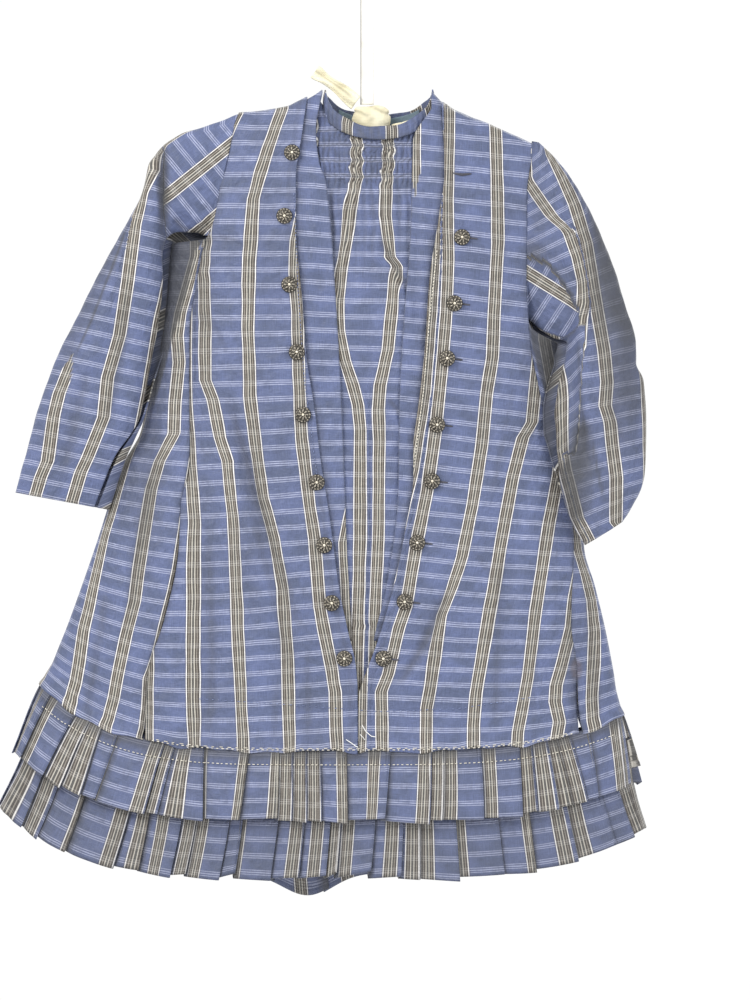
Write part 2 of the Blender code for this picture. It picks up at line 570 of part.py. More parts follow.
def hanger(cotton, tape):
    """A padded bar inside the shoulders, its wrapped middle with a tie end, and the tape loop."""
    for side, arm in (("right", HANGER_ARM_RIGHT), ("left", HANGER_ARM_LEFT)):
        along_x = np.linspace(0, 1, 7)
        at = np.linspace(0, 1, len(arm["x"]))
        x = smooth(along_x, at, arm["x"])
        z = smooth(along_x, at, arm["z"])
        radius = smooth(along_x, at, arm["radius"])
        path = np.stack([x, np.zeros_like(x), z], axis=-1)
        if side == "right":
            path, radius = path[::-1], radius[::-1]
        tube_object(f"hanger_arm_{side}", path, radius, cotton)
    block_object("hanger_wrap", WRAP_CENTRE, WRAP_SIZE, cotton, 0.004)
    half_width = TIE_END["width"] / 2
    tie = [
        np.stack(
            [
                TIE_END["x"] + edge * half_width * np.sin(TIE_SLOPE),
                np.full_like(half_width, TIE_Y),
                TIE_END["z"] + edge * half_width * np.cos(TIE_SLOPE),
            ],
            axis=-1,
        )
        for edge in (-1, 1)
    ]
    wall_object("hanger_tie", np.array(tie), cotton, flip=True)
    tape_height = LOOP_LOW - SEAM_GAP - TAPE_FOOT
    tape_size = (TAPE_WIDTH, TAPE_THICKNESS, tape_height)
    block_object("hanger_tape", (0.0, 0.0, TAPE_FOOT + tape_height / 2), tape_size, tape, 0.0002)
    angle = np.linspace(0, 2 * pi, 20, endpoint=False)
    y, z = LOOP_DEPTH * np.sin(angle), LOOP_LOW / 2 * (1 - np.cos(angle))
    ring = [np.stack([np.full(20, x), y, z], axis=-1) for x in (-TAPE_WIDTH / 2, TAPE_WIDTH / 2)]
    wall_object("hanger_loop", np.array(ring), tape, closed=True, flip=True, thickness=TAPE_THICKNESS)


def main():
    for old in list(bpy.data.objects):
        bpy.data.objects.remove(old, do_unlink=True)
    check = finish("checked_cotton", (0.17, 0.20, 0.40), 0.62)
    lining = finish("lining_cotton", (0.30, 0.38, 0.42), 0.85)
    cotton = finish("cream_cotton", (0.86, 0.82, 0.66), 0.9)
    tape = finish("white_tape", (0.88, 0.87, 0.82), 0.85)
    metal = finish("cut_steel", (0.16, 0.14, 0.12), 0.42, 0.6)
    front_panels(check)
    side_panels(check)
    back_panel(check)
    vest_pieces(check)
    collar_and_lining(check, lining)
    sleeve_pieces(check)
    flounce("flounce_upper", FLOUNCE_LINE, FLOUNCE_UPPER, 0.0, check)
    flounce("flounce_lower", LOWER_LINE, FLOUNCE_LOWER, 0.01, check)
    buttons(metal)
    hanger(cotton, tape)


main()
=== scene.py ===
import bpy
import numpy as np
from math import pi, radians
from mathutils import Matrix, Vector


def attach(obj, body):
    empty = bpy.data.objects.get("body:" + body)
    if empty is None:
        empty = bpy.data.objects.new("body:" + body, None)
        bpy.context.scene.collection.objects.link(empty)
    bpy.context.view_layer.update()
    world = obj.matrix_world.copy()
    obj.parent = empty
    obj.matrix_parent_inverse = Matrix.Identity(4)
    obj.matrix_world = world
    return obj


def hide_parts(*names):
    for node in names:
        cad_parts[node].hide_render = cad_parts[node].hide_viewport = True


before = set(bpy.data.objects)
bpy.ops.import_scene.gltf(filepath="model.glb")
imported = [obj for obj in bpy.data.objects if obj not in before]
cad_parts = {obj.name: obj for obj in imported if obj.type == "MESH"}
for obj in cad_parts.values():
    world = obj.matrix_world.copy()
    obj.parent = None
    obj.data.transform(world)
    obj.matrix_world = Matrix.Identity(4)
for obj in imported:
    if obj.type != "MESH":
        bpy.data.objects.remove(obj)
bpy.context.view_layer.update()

# ---- The dress's driving sizes, in metres, as the frame has them.
wall = 0.0011
layer = 0.0023            # from one layer of cloth at the front edges to the next
hem = -0.676
stripePeriod = 0.037      # from one warp stripe to the next
weftRepeat = 0.0126       # from one group of pale weft lines to the next
clear = 0.0065            # half a stripe and a little more


def table(columns, *rows):
    # Each named column of the rows as one array.
    return dict(zip(columns.split(), np.array(rows, float).T))


def millimetres(columns, *cells):
    # The same from one run of cells in millimetres.
    return table(columns, *np.reshape(cells, (-1, len(columns.split()))) / 1000)


def edge(*cells):
    return millimetres("height x", *cells)


def topEdge(*cells):
    return millimetres("x height", *cells)


def route(*cells):
    # A line down the cloth, such as a warp stripe's.
    return millimetres("z x", *cells)


body = millimetres(
    "height right left front back middle riseRight riseLeft",
    -740, -285, 212, 56, 56, 0, 54, 38,
    -690, -271, 209, 52, 52, 0, 52, 27,
    -638, -260.5, 203.5, 50, 50, 0, 51, 26,
    -596, -250.5, 198, 48, 48, 0, 35, 18,
    -556, -239, 191.5, 46, 45, 0, 24, 11,
    -484, -218, 175.5, 41, 38, 2, 12, 4,
    -412, -197, 164, 36, 32, 7, 4, 1,
    -380, -182, 160, 34, 30, 12, 1, 0,
    -300, -169, 157, 31, 27, 12, 0, 0,
    -262, -163, 147, 29, 25, 10, 0, 0,
    -224, -156, 143, 27, 24, 6, 0, 0,
    -180, -129, 146, 23, 21, 2, 0, 0,
    -125, -116, 147, 19, 18, 0, 0, 0,
    -90, -113, 138, 16, 16, 0, 0, 0,
)
shoulder = topEdge(
    -103, -125, -79, -122, -63, -119, -48, -111, -34, -105, -12, -95, 35, -95, 53, -105, 64, -120, 92, -130,
    134, -149,
)
frontEdgeRight = edge(
    -676, -7.5, -588, -7.5, -567, -9, -541, -15, -507, -22, -448, -30, -396, -38, -362, -42, -317, -49,
    -273, -52, -219, -57, -180, -57, -142, -52, -112, -48,
)
frontEdgeLeft = edge(
    -676, -6.5, -592, -6.5, -580, -3, -547, 9, -501, 22, -462, 30, -417, 37, -394, 37, -362, 41, -318, 46,
    -260, 50, -206, 58, -174, 62, -120, 61,
)
sideSeamRight = edge(
    -676, -178, -615, -176, -578, -174, -534, -161, -478, -150, -442, -149, -407, -142, -300, -142, -260, -136,
    -230, -130, -209, -122, -180, -117, -158, -114, -125, -103,
)
sideSeamLeft = edge(
    -676, 170, -580, 168, -539, 163, -474, 166, -412, 154, -348, 138, -312, 131, -252, 128, -196, 128,
    -149, 134,
)
stripEdgeRight = edge(
    -600, -12, -574, -10, -541, -12, -474, -16, -368, -20, -260, -26, -180, -33, -167, -38, -139, -41,
    -108, -36,
)
stripEdgeLeft = edge(
    -600, -2, -574, 1, -540, 7, -508, 15, -428, 25, -356, 26, -300, 29, -220, 35, -148, 37, -122, 52,
)
topFrontRight = topEdge(-48, -112, -62, -119, -76, -122, -103, -125)
topFrontLeft = topEdge(61, -115.5, 73, -123.5, 89, -130, 108, -138, 134, -149)
topStripRight = topEdge(-34, -106, -42, -110.5, -48, -113.5, -55, -116.5)
topStripLeft = topEdge(52, -108.5, 56, -111.5, 61, -115.5, 66, -119.5)
topVest = topEdge(-40, -112, -30, -128.5, -14, -140.5, 8, -145.5, 30, -138.5, 46, -120)
topBack = topEdge(
    -103, -125, -66, -120, -44, -112, -34, -120, -16, -130, 10, -133, 36, -131, 52, -121, 62, -121, 95, -132,
    134, -149,
)
# Each row of a sleeve, armhole to cuff. seam is the share of the round, in thousandths, where the
# under-sleeve meets the upper one at the inner end.
sleeveRows = {
    "right": millimetres(
        "innerX innerZ outerX outerZ bow middle front back seam",
        -130, -224, -103.5, -125.5, 3, 0, 11, 12, 0,
        -139, -221, -128, -135, 2, 0, 14, 14, 0,
        -152, -221, -150, -142, 0, -1, 16, 15, 0,
        -162, -228, -169.5, -158, 0, -3, 16, 15, 0,
        -164, -241, -180.5, -190, 0, -6, 16, 14, 0,
        -164, -266, -208, -241, 0, -8, 16, 14, 0,
        -168, -298, -231, -286, 0, -9, 16, 14, 0,
        -174, -330, -249, -322, 0, -9, 16, 14, 0,
        -180, -370, -263, -361, 0, -9, 17, 14, 20,
        -194, -405, -274, -400, 0, -9, 16, 13, 100,
        -206.5, -444, -282, -430, 0, -8, 14, 12, 140,
    ),
    "left": millimetres(
        "innerX innerZ outerX outerZ bow middle front back seam",
        129, -290, 137, -147.5, 5, 0, 11, 12, 0,
        139, -299, 150, -160, 3, -2, 14, 14, 0,
        150, -306, 164.5, -178, 1, -5, 15, 14, 0,
        160, -310, 181, -209, 0, -8, 16, 14, 0,
        159, -321, 196.5, -246, 0, -12, 16, 13, 0,
        153, -344, 206.5, -279, 0, -18, 15, 12, 0,
        150, -367, 215, -310, 0, -23, 15, 11, 0,
        150.5, -377, 215, -326, 0, -24.5, 14.5, 10.5, 0,
        151, -388, 221, -341, 0, -26, 14, 10, 0,
        153, -411, 223, -380, 0, -28, 14, 9, 0,
        156, -432, 221.5, -416, 0, -29, 14, 9, 0,
        164, -455, 212, -441, 0, -29, 13, 9, 0,
        174, -472, 204, -453.5, 0, -29, 12, 9, 0,
    ),
}


# ---- Curves and the body's surface.
def smooth(at, xs, ys):
    # A cubic through the points, xs rising, whose slopes are the harmonic means of its neighbours'.
    at = np.clip(at, xs[0], xs[-1])
    step = np.diff(xs)
    slope = np.diff(ys) / step
    sameWay = slope[:-1] * slope[1:] > 0
    total = np.where(sameWay, slope[:-1] + slope[1:], 1.0)
    inner = np.where(sameWay, 2 * slope[:-1] * slope[1:] / total, 0.0)
    tangent = np.concatenate([slope[:1], inner, slope[-1:]])
    i = np.clip(np.searchsorted(xs, at, side="right") - 1, 0, len(xs) - 2)
    t = (at - xs[i]) / step[i]
    near = (1 + 2 * t) * (1 - t) ** 2 * ys[i] + t * (1 - t) ** 2 * step[i] * tangent[i]
    far = t * t * (3 - 2 * t) * ys[i + 1] + t * t * (t - 1) * step[i] * tangent[i + 1]
    return near + far


def ease(value, low, high):
    # 0 below low, 1 above high, and a smooth step between.
    t = np.clip((value - low) / (high - low), 0, 1)
    return t * t * (3 - 2 * t)


def mix(a, b, share):
    return a + (b - a) * share


def hill(value, width):
    # exp(-(value / width) ** 2), which is 1 at 0 and fades out past the width.
    return np.exp(-((value / width) ** 2))


def stacked(*parts):
    # Arrays, stretched to one shape, as the last axis of one array: points, or pattern coordinates.
    return np.stack(np.broadcast_arrays(*parts), axis=-1)


def roundTurn(count):
    return np.linspace(0, 2 * pi, count, endpoint=False)


def arcLength(points):
    # Length along each row of a grid, from its first column.
    step = np.linalg.norm(np.diff(points, axis=1), axis=-1)
    return np.concatenate([np.zeros((len(points), 1)), np.cumsum(step, axis=1)], axis=1)


def carriedOn(value, arc, angle, last, slope):
    # The value up to the column where the angle passes last, then slope per metre of arc more.
    outer = np.argmax(angle > last, axis=1)[:, None]
    past = np.maximum(arc - np.take_along_axis(arc, outer, axis=1), 0)
    return np.where(past > 0, np.take_along_axis(value, outer, axis=1) + slope * past, value)


def sampled(rows, share):
    # Each column of a table at these shares of the way from its first row to its last.
    return {name: smooth(share, np.linspace(0, 1, len(value)), value) for name, value in rows.items()}


def alongTop(curve, share):
    # Points (x, height) of a top edge at these shares of its length.
    length = np.hypot(np.diff(curve["x"]), np.diff(curve["height"]))
    at = np.concatenate([[0.0], np.cumsum(length)]) / length.sum()
    return np.interp(share, at, curve["x"]), np.interp(share, at, curve["height"])


def bodyValue(name, height):
    return smooth(height, body["height"], body[name])


def bodyPoint(x, height, back=False, inward=0.0):
    # The ring's superellipse at this height, flattened towards the shoulder line as a quarter circle.
    right, left = bodyValue("right", height), bodyValue("left", height)
    share = np.clip((2 * x - right - left) / (left - right), -1.0, 1.0)
    bulge = (1 - share**2) ** 0.4
    middle = bodyValue("middle", height)
    if back:
        y = middle + (bodyValue("back", height) - middle) * bulge
    else:
        y = middle - (bodyValue("front", height) + middle) * bulge
    drop = np.clip((np.interp(x, shoulder["x"], shoulder["height"]) - height) / 0.042, 0, 1)
    rounded = np.sqrt(1 - (1 - drop) ** 2)
    y = y * rounded + (-inward if back else inward) * np.minimum(1, rounded * 2)
    y = y + (0.0002 if back else -0.0002)
    rise = np.where(share < 0, bodyValue("riseRight", height), bodyValue("riseLeft", height))
    return stacked(x, y, height + rise * share**4)


def panelGrid(edgeIn, edgeOut, top, heightsIn, heightsOut, columns, upperRows, under=(0.0, 0.0)):
    # Rows between two edges at the given heights, then rows that bow into the top edge.
    u = np.linspace(0, 1, columns)
    way = 1 if edgeOut["x"][-1] > edgeIn["x"][-1] else -1
    topX, topHeight = alongTop(top, u)
    tall = np.concatenate([np.zeros(len(heightsIn)), np.linspace(0, 1, upperRows + 1)[1:]])[:, None]
    lowIn = np.append(heightsIn, np.full(upperRows, heightsIn[-1]))[:, None]
    lowOut = np.append(heightsOut, np.full(upperRows, heightsOut[-1]))[:, None]
    hIn, hOut = mix(lowIn, topHeight[0], tall), mix(lowOut, topHeight[-1], tall)
    xIn = smooth(hIn, edgeIn["height"], edgeIn["x"]) - way * under[0]
    xOut = smooth(hOut, edgeOut["height"], edgeOut["x"]) + way * under[1]
    x = mix(xIn, xOut, u) + tall * (topX - mix(topX[0], topX[-1], u))
    return x, mix(mix(lowIn, lowOut, u), topHeight, tall)


# ---- Folds, painted shade and the woven pattern, each as a field over a grid.
def foldRelief(x, z, folds, unit=0.001):
    # Each fold is a bump or trough along a bent line: depth * hill(distance, width), fading in over
    # the first and last fifth of its length. It is eight cells: the x and z of its start, middle and
    # end, its width, all in mm, and its depth in units.
    relief = np.zeros_like(x)
    t = np.linspace(0, 1, 11)[:, None]
    for x1, z1, x2, z2, x3, z3, width, depth in np.reshape(folds, (-1, 8)) * ([0.001] * 7 + [unit]):
        ends = np.array([[x1, z1], [x2, z2], [x3, z3]])
        line = (1 - t) ** 2 * ends[0] + 2 * t * (1 - t) * (2 * ends[1] - (ends[0] + ends[2]) / 2)
        line = line + t * t * ends[2]
        nearest, where = np.full(x.shape, 9.0), np.zeros_like(x)
        for i in range(10):
            run = line[i + 1] - line[i]
            share = ((x - line[i, 0]) * run[0] + (z - line[i, 1]) * run[1]) / (run @ run)
            share = np.clip(share, 0, 1)
            away = np.hypot(x - line[i, 0] - share * run[0], z - line[i, 1] - share * run[1])
            where = np.where(away < nearest, (i + share) / 10, where)
            nearest = np.minimum(away, nearest)
        fade = ease(where, 0, 0.22) * (1 - ease(where, 0.78, 1))
        relief += depth * fade * hill(nearest, width)
    return relief


def paintedShadowPatches(x, z, patches):
    # Painted shadows: 1 less the darkest of some soft ellipses: amount * exp(-(distance in radii) ** 3).
    # Each is five cells: its middle and its two radii in mm, and the amount.
    dark = np.zeros_like(x)
    for midX, midZ, radiusX, radiusZ, amount in np.reshape(patches, (-1, 5)) * ([0.001] * 4 + [1]):
        away = ((x - midX) / radiusX) ** 2 + ((z - midZ) / radiusZ) ** 2
        dark = np.maximum(dark, amount * np.exp(-(away**1.5)))
    return 1 - dark


def shadeOf(x, z, spec):
    # The piece's painted shade: its soft painted shadows, and its dark lines of painted shade, which lie like
    # its folds.
    dark = foldRelief(x, z, spec.get("paintedShadeLines", ()), 1)
    return paintedShadowPatches(x, z, spec.get("shadows", ())) * (1 - dark.clip(-0.2, 0.9))


def stripeField(x, z, routes, wide=1.0):
    # Whole numbers on the stripes' centre lines. Beside each line it grows by one per stripe period,
    # so a stripe keeps its width, and the cloth between two lines takes up the rest.
    period, half = stripePeriod * wide, clear * wide
    lines = np.array([np.interp(z, route["z"], route["x"]) for route in routes])
    after = (lines < x).sum(axis=0)
    low = np.take_along_axis(lines, np.clip(after - 1, 0, None)[None], axis=0)[0]
    high = np.take_along_axis(lines, np.clip(after, None, len(routes) - 1)[None], axis=0)[0]
    gap = np.maximum(high - low, 1e-5)
    near = np.minimum(half, gap * 0.48)
    step = x - low
    slope = (1 - 2 * near / period) / (gap - 2 * near)
    between = np.where(
        step < near,
        step / period,
        np.where(step > gap - near, 1 - (gap - step) / period, near / period + (step - near) * slope),
    )
    inside = after - 1 + between
    return np.where(
        after == 0,
        (x - lines[0]) / period,
        np.where(after == len(routes), len(routes) - 1 + (x - lines[-1]) / period, inside),
    )


def waver(x, z, size, seed):
    # A slow unevenness between -1 and 1: a sum of sines of uneven pitch.
    turn = np.sin(x / size * 2.1 + seed) + np.sin(z / size * 1.7 + seed * 2.3)
    turn = turn + np.sin((x + z) / size * 3.3 + seed * 0.7) + np.sin((x - 0.6 * z) / size * 4.9 + seed * 1.9)
    return turn / 4


def normalsOf(points, closed=False):
    # Unit normals of a grid of points: columns crossed with rows.
    if closed:
        ring = np.concatenate([points[:, -1:], points, points[:, :1]], axis=1)
        across = ring[:, 2:] - ring[:, :-2]
    else:
        across = np.gradient(points, axis=1)
    normal = np.cross(across, np.gradient(points, axis=0))
    return normal / np.maximum(np.linalg.norm(normal, axis=-1, keepdims=True), 1e-9)


# ---- Materials.
def nodeMaker(material):
    # Makes a node: sockets link to sockets, and plain values go into the sockets themselves.
    tree = material.node_tree

    def make(kind, sockets=(), **settings):
        node = tree.nodes.new("ShaderNode" + kind)
        for name, value in settings.items():
            setattr(node, name, value)
        for name, value in dict(sockets).items():
            socket = node.inputs[name]
            if isinstance(value, bpy.types.NodeSocket):
                tree.links.new(value, socket)
            else:
                socket.default_value = value
        return node

    return make


def newMaterial(name):
    material = bpy.data.materials.new(name)
    material.use_nodes = True
    return material, material.node_tree.nodes["Principled BSDF"], nodeMaker(material)


def linkTo(material, source, target):
    material.node_tree.links.new(source, target)


def ramp(make, factor, stops):
    # A colour ramp from (position, colour) stops, where a plain number is a grey.
    made = make("ValToRGB", {"Fac": factor})
    elements = made.color_ramp.elements
    while len(elements) < len(stops):
        elements.new(0.5)
    for element, (position, colour) in zip(elements, stops):
        element.position = position
    for element, (position, colour) in zip(elements, stops):
        element.color = colour if isinstance(colour, tuple) else (colour, colour, colour, 1)
    return made


def maths(make, operation, first, second=0.0):
    return make("Math", {0: first, 1: second}, operation=operation).outputs[0]


def noise(make, vector, scale, detail=2.0, roughness=0.5):
    sockets = {"Vector": vector, "Scale": scale, "Detail": detail, "Roughness": roughness}
    return make("TexNoise", sockets).outputs[0]


def times(make, first, second):
    return maths(make, "MULTIPLY", first, second)


def plus(make, first, second):
    return maths(make, "ADD", first, second)


def blendColours(make, factor, a, b, kind="MIX"):
    made = make("Mix", {"Factor": factor}, data_type="RGBA", blend_type=kind)
    tree = made.id_data
    for socket, value in ((made.inputs[6], a), (made.inputs[7], b)):
        if isinstance(value, bpy.types.NodeSocket):
            tree.links.new(value, socket)
        else:
            socket.default_value = (*value, 1.0)
    return made.outputs[2]


clothColours = {
    "ground": (0.100, 0.125, 0.238),
    "groundDeep": (0.078, 0.097, 0.172),
    "weft": (0.47, 0.50, 0.66),
    "white": (0.78, 0.76, 0.74),
    "cream": (0.50, 0.47, 0.41),
    "taupe": (0.070, 0.060, 0.052),
    "taupeLight": (0.21, 0.185, 0.155),
    "black": (0.030, 0.031, 0.032),
    "stain": (0.10, 0.07, 0.06),
    # the flat grey that painted shade blends the cloth towards
    "paintedShadeGrey": (0.049, 0.050, 0.054),
}


def checkCloth(name, seed):
    # Woven check on the piece's own pattern coordinates: u counts warp stripes, v weft groups.
    # Distance from a stripe's centre picks its bands, and distance from a group's centre its lines.
    material, shader, make = newMaterial(name)
    c = {key: (*value, 1.0) for key, value in clothColours.items()}
    pattern = make("SeparateXYZ", {0: make("UVMap", uv_map="weave").outputs[0]})
    u, v = pattern.outputs[0], pattern.outputs[1]
    warpMm, weftMm = stripePeriod * 1000, weftRepeat * 1000
    place = make("CombineXYZ", {0: times(make, u, warpMm), 1: times(make, v, weftMm), 2: seed}).outputs[0]
    slow = noise(make, place, 0.045, 3.0)
    mottled = noise(make, place, 0.22, 4.0)
    # Threads: noise drawn out along each direction.
    alongWeft = make("VectorMath", {0: place, 1: (0.12, 3.4, 1.0)}, operation="MULTIPLY").outputs[0]
    alongWarp = make("VectorMath", {0: place, 1: (3.8, 0.10, 1.0)}, operation="MULTIPLY").outputs[0]
    weftThread = noise(make, alongWeft, 1.0, 2.0)
    warpThread = noise(make, alongWarp, 1.0, 2.0)
    fromStripe = times(make, maths(make, "PINGPONG", u, 0.5), warpMm / 7.0)
    bands = [
        (0.000, c["black"]), (0.090, c["black"]), (0.120, c["cream"]), (0.185, c["cream"]),
        (0.220, c["taupe"]), (0.355, c["taupe"]), (0.395, c["taupeLight"]), (0.430, c["taupeLight"]),
        (0.470, c["taupe"]), (0.605, c["taupe"]), (0.645, c["white"]), (0.700, c["white"]),
        (0.740, (0.055, 0.063, 0.105, 1.0)), (0.820, (0.07, 0.08, 0.15, 0.4)), (0.90, (0.10, 0.12, 0.23, 0.0)),
    ]
    stripe = ramp(make, fromStripe, bands)
    # The light line in each taupe band, and the black one, are broken by the weave like rope.
    rope = make("TexWave", {
        "Vector": place, "Scale": 0.34, "Distortion": 1.5, "Detail": 1.0, "Detail Scale": 2.0,
    }, wave_type="BANDS", bands_direction="Y").outputs[1]
    ropeOn = ramp(make, fromStripe, [
        (0.0, 0.30), (0.10, 0.30), (0.14, 0),
        (0.34, 0), (0.40, 1), (0.44, 0),
    ]).outputs[0]
    ropeShare = times(make, times(make, rope, ropeOn), 0.75)
    roped = blendColours(make, ropeShare, stripe.outputs[0], clothColours["cream"])
    fromWeft = times(make, maths(make, "PINGPONG", v, 0.5), weftMm / 3.2)
    lines = ramp(make, fromWeft, [
        (0.00, 1), (0.10, 1), (0.20, 0), (0.36, 0),
        (0.45, 1), (0.58, 1), (0.67, 0),
    ]).outputs[0]
    lineShare = times(make, lines, plus(make, times(make, weftThread, 0.9), 0.12))
    lineShare = times(make, lineShare, plus(make, times(make, mottled, 0.9), 0.42))
    deep = ramp(make, slow, [(0.38, 0), (0.62, 1)]).outputs[0]
    ground = blendColours(make, deep, clothColours["ground"], clothColours["groundDeep"])
    inGroup = ramp(make, fromWeft, [(0.62, 1), (0.80, 0)]).outputs[0]
    ground = blendColours(make, times(make, inGroup, 0.16), ground, (0.05, 0.06, 0.15))
    ground = blendColours(make, lineShare, ground, clothColours["weft"])
    roped = blendColours(make, times(make, lineShare, 0.30), roped, clothColours["white"])
    plain = make("Attribute", attribute_name="plain").outputs["Fac"]
    onStripe = times(make, stripe.outputs[1], maths(make, "SUBTRACT", 1.0, plain))
    colour = blendColours(make, onStripe, ground, roped)
    threads = plus(make, times(make, weftThread, 0.55), times(make, warpThread, 0.55))
    threadTone = ramp(make, threads, [(0.34, 0.62), (0.74, 1.30)]).outputs[0]
    colour = blendColours(make, 1.0, colour, threadTone, "MULTIPLY")
    # Painted shade: where the shade attribute is low, the colour turns to a flat grey: grey + shade * (colour -
    # grey).
    shade = make("Attribute", attribute_name="shade").outputs["Fac"]
    colour = blendColours(make, shade, clothColours["paintedShadeGrey"], colour)
    # A brown stain near the wearer's left side seam, low on the skirt.
    spot = make("TexCoord").outputs["Object"]
    away = make("VectorMath", {0: spot, 1: (0.1675, -0.025, -0.571)}, operation="SUBTRACT").outputs[0]
    away = make("VectorMath", {0: away, 1: (1.0, 0.15, 0.62)}, operation="MULTIPLY").outputs[0]
    away = make("VectorMath", {0: away}, operation="LENGTH").outputs["Value"]
    stained = ramp(make, times(make, away, 100.0), [(0.34, 0.75), (0.62, 0)])
    stained = times(make, stained.outputs[0], mottled)
    colour = blendColours(make, stained, colour, clothColours["stain"])
    linkTo(material, colour, shader.inputs["Base Color"])
    gloss = ramp(make, mottled, [(0.35, 0.50), (0.70, 0.68)]).outputs[0]
    linkTo(material, gloss, shader.inputs["Roughness"])
    shader.inputs["Specular IOR Level"].default_value = 0.32
    shader.inputs["Sheen Weight"].default_value = 0.18
    shader.inputs["Sheen Roughness"].default_value = 0.4
    height = plus(make, threads, times(make, lines, 0.25))
    rough = make("Bump", {"Strength": 0.35, "Distance": 0.0003, "Height": height}).outputs[0]
    crumple = noise(make, place, 0.10, 4.0, 0.55)
    soft = make("Bump", {"Strength": 0.80, "Distance": 0.0040, "Height": crumple, "Normal": rough}).outputs[0]
    linkTo(material, soft, shader.inputs["Normal"])
    return material


def plainCloth(name, colour, dark, pitch, roughness, bumpDepth):
    # Plain weave on object coordinates: two crossed sine waves, and slow stains of a darker tone.
    material, shader, make = newMaterial(name)
    spot = make("TexCoord").outputs["Object"]
    sockets = {"Vector": spot, "Scale": pitch, "Distortion": 1.2}
    waves = [make("TexWave", sockets, bands_direction=way).outputs[1] for way in "XZ"]
    weave = times(make, *waves)
    slow = noise(make, spot, 60.0, 4.0)
    share = ramp(make, slow, [(0.35, 0), (0.75, 1)]).outputs[0]
    toneAndShade = blendColours(make, share, colour, dark)
    toneAndShade = blendColours(make, times(make, weave, 0.25), toneAndShade, dark)
    # Painted shade: the colour is multiplied by the piece's shade attribute.
    shade = make("Attribute", attribute_name="shade").outputs["Color"]
    toneAndShade = blendColours(make, 1.0, toneAndShade, shade, "MULTIPLY")
    linkTo(material, toneAndShade, shader.inputs["Base Color"])
    shader.inputs["Roughness"].default_value = roughness
    shader.inputs["Sheen Weight"].default_value = 0.15
    bump = make("Bump", {"Strength": 0.5, "Distance": bumpDepth, "Height": weave}).outputs[0]
    soft = make("Bump", {"Strength": 0.5, "Distance": 0.0015, "Height": slow, "Normal": bump}).outputs[0]
    linkTo(material, soft, shader.inputs["Normal"])
    return material


def metal(name, colour, worn, metallic, roughness):
    # Cast metal whose tone and gloss vary with noise.
    material, shader, make = newMaterial(name)
    spot = make("TexCoord").outputs["Object"]
    speckle = noise(make, spot, 900.0, 3.0)
    share = ramp(make, speckle, [(0.40, 0), (0.66, 1)]).outputs[0]
    linkTo(material, blendColours(make, share, colour, worn), shader.inputs["Base Color"])
    gloss = plus(make, times(make, speckle, 0.25), roughness)
    linkTo(material, gloss, shader.inputs["Roughness"])
    shader.inputs["Metallic"].default_value = metallic
    bump = make("Bump", {"Strength": 0.3, "Distance": 0.0002, "Height": speckle}).outputs[0]
    linkTo(material, bump, shader.inputs["Normal"])
    return material


# ---- Meshes.
def meshPiece(name, points, faces, materials, faceMaterials=None):
    mesh = bpy.data.meshes.new(name)
    mesh.from_pydata(np.asarray(points, float).tolist(), [], [list(map(int, face)) for face in faces])
    for material in materials:
        mesh.materials.append(material)
    if faceMaterials is not None:
        mesh.polygons.foreach_set("material_index", np.asarray(faceMaterials, np.int32))
    mesh.shade_smooth()
    mesh.update()
    piece = bpy.data.objects.new(name, mesh)
    bpy.context.scene.collection.objects.link(piece)
    return piece


def addFloats(mesh, name, values):
    mesh.attributes.new(name, "FLOAT", "POINT").data.foreach_set("value", np.ravel(values).astype(np.float32))


def thicken(piece, thickness, offset):
    thick = piece.modifiers.new("wall", "SOLIDIFY")
    thick.thickness, thick.offset = thickness, offset


def clothPiece(
    name, points, weave, shade, material, node, plain=None, closed=False, flip=False, slot="checked_cloth"
):
    # A grid of points as one sheet, thickened away from its outer face. weave is the pattern
    # coordinates, with one more column than the points on a closed ring.
    def corners(grid, closed):
        quads = gridFaces(*grid.shape[:2], closed)
        return quads[:, ::-1] if flip else quads

    piece = meshPiece(name, points.reshape(-1, 3), corners(points, closed), [material])
    pattern = weave.reshape(-1, 2)[corners(weave, False).ravel()].astype(np.float32)
    piece.data.uv_layers.new(name="weave").uv.foreach_set("vector", pattern.ravel())
    addFloats(piece.data, "shade", shade)
    if plain is not None:
        addFloats(piece.data, "plain", plain)
    thicken(piece, wall, -1)
    return riding(piece, slot, node)


def foldedPanel(spec, x, points):
    # Pushes a panel's points out by its folds and gives its pattern and shade.
    z = points[..., 2]
    relief = foldRelief(x, z, spec["folds"])
    relief = relief + 0.0004 * waver(x, z, 0.016, spec["seed"])
    relief = relief + 0.0008 * waver(x * 1.6, z * 0.5, 0.03, spec["seed"] * 1.3)
    normal = normalsOf(points)
    if normal[..., 1].mean() * spec.get("facing", -1) < 0:
        normal = -normal
    out = points + normal * relief[..., None]
    u = stripeField(x + relief * 0.6, z, spec["routes"])
    lean = np.interp(z, spec["lean"]["z"], spec["lean"]["slope"])
    v = (z + lean * x) / weftRepeat + 0.03 * waver(x, z, 0.03, spec["seed"])
    # Painted shade and light: the piece's painted shadows and dark lines, its tone for how the light falls on
    # it, darker cloth in the fold troughs and lighter on the ridges.
    shade = shadeOf(x, z, spec) * spec.get("toneAndShade", 1.0) * (1 + np.clip(relief, -0.005, 0.002) * 60)
    return out, stacked(u, v), np.clip(shade, 0.12, 1.15)


# ---- Camera, light and floor.
view = {
    "place": (0.0064, -4.02, -0.436),
    "lens": 180.0,
    "key": ((-1.35, -1.6, 0.95), 0.9, 42.0, (1.0, 0.985, 0.96)),
    "fill": ((1.6, -1.9, -0.2), 1.6, 22.0, (0.95, 0.97, 1.0)),
    "back": ((0.6, 1.9, 0.9), 1.4, 22.0, (1.0, 1.0, 1.0)),
    "floorLevel": -0.98,
    "floorRadius": 0.62,
}


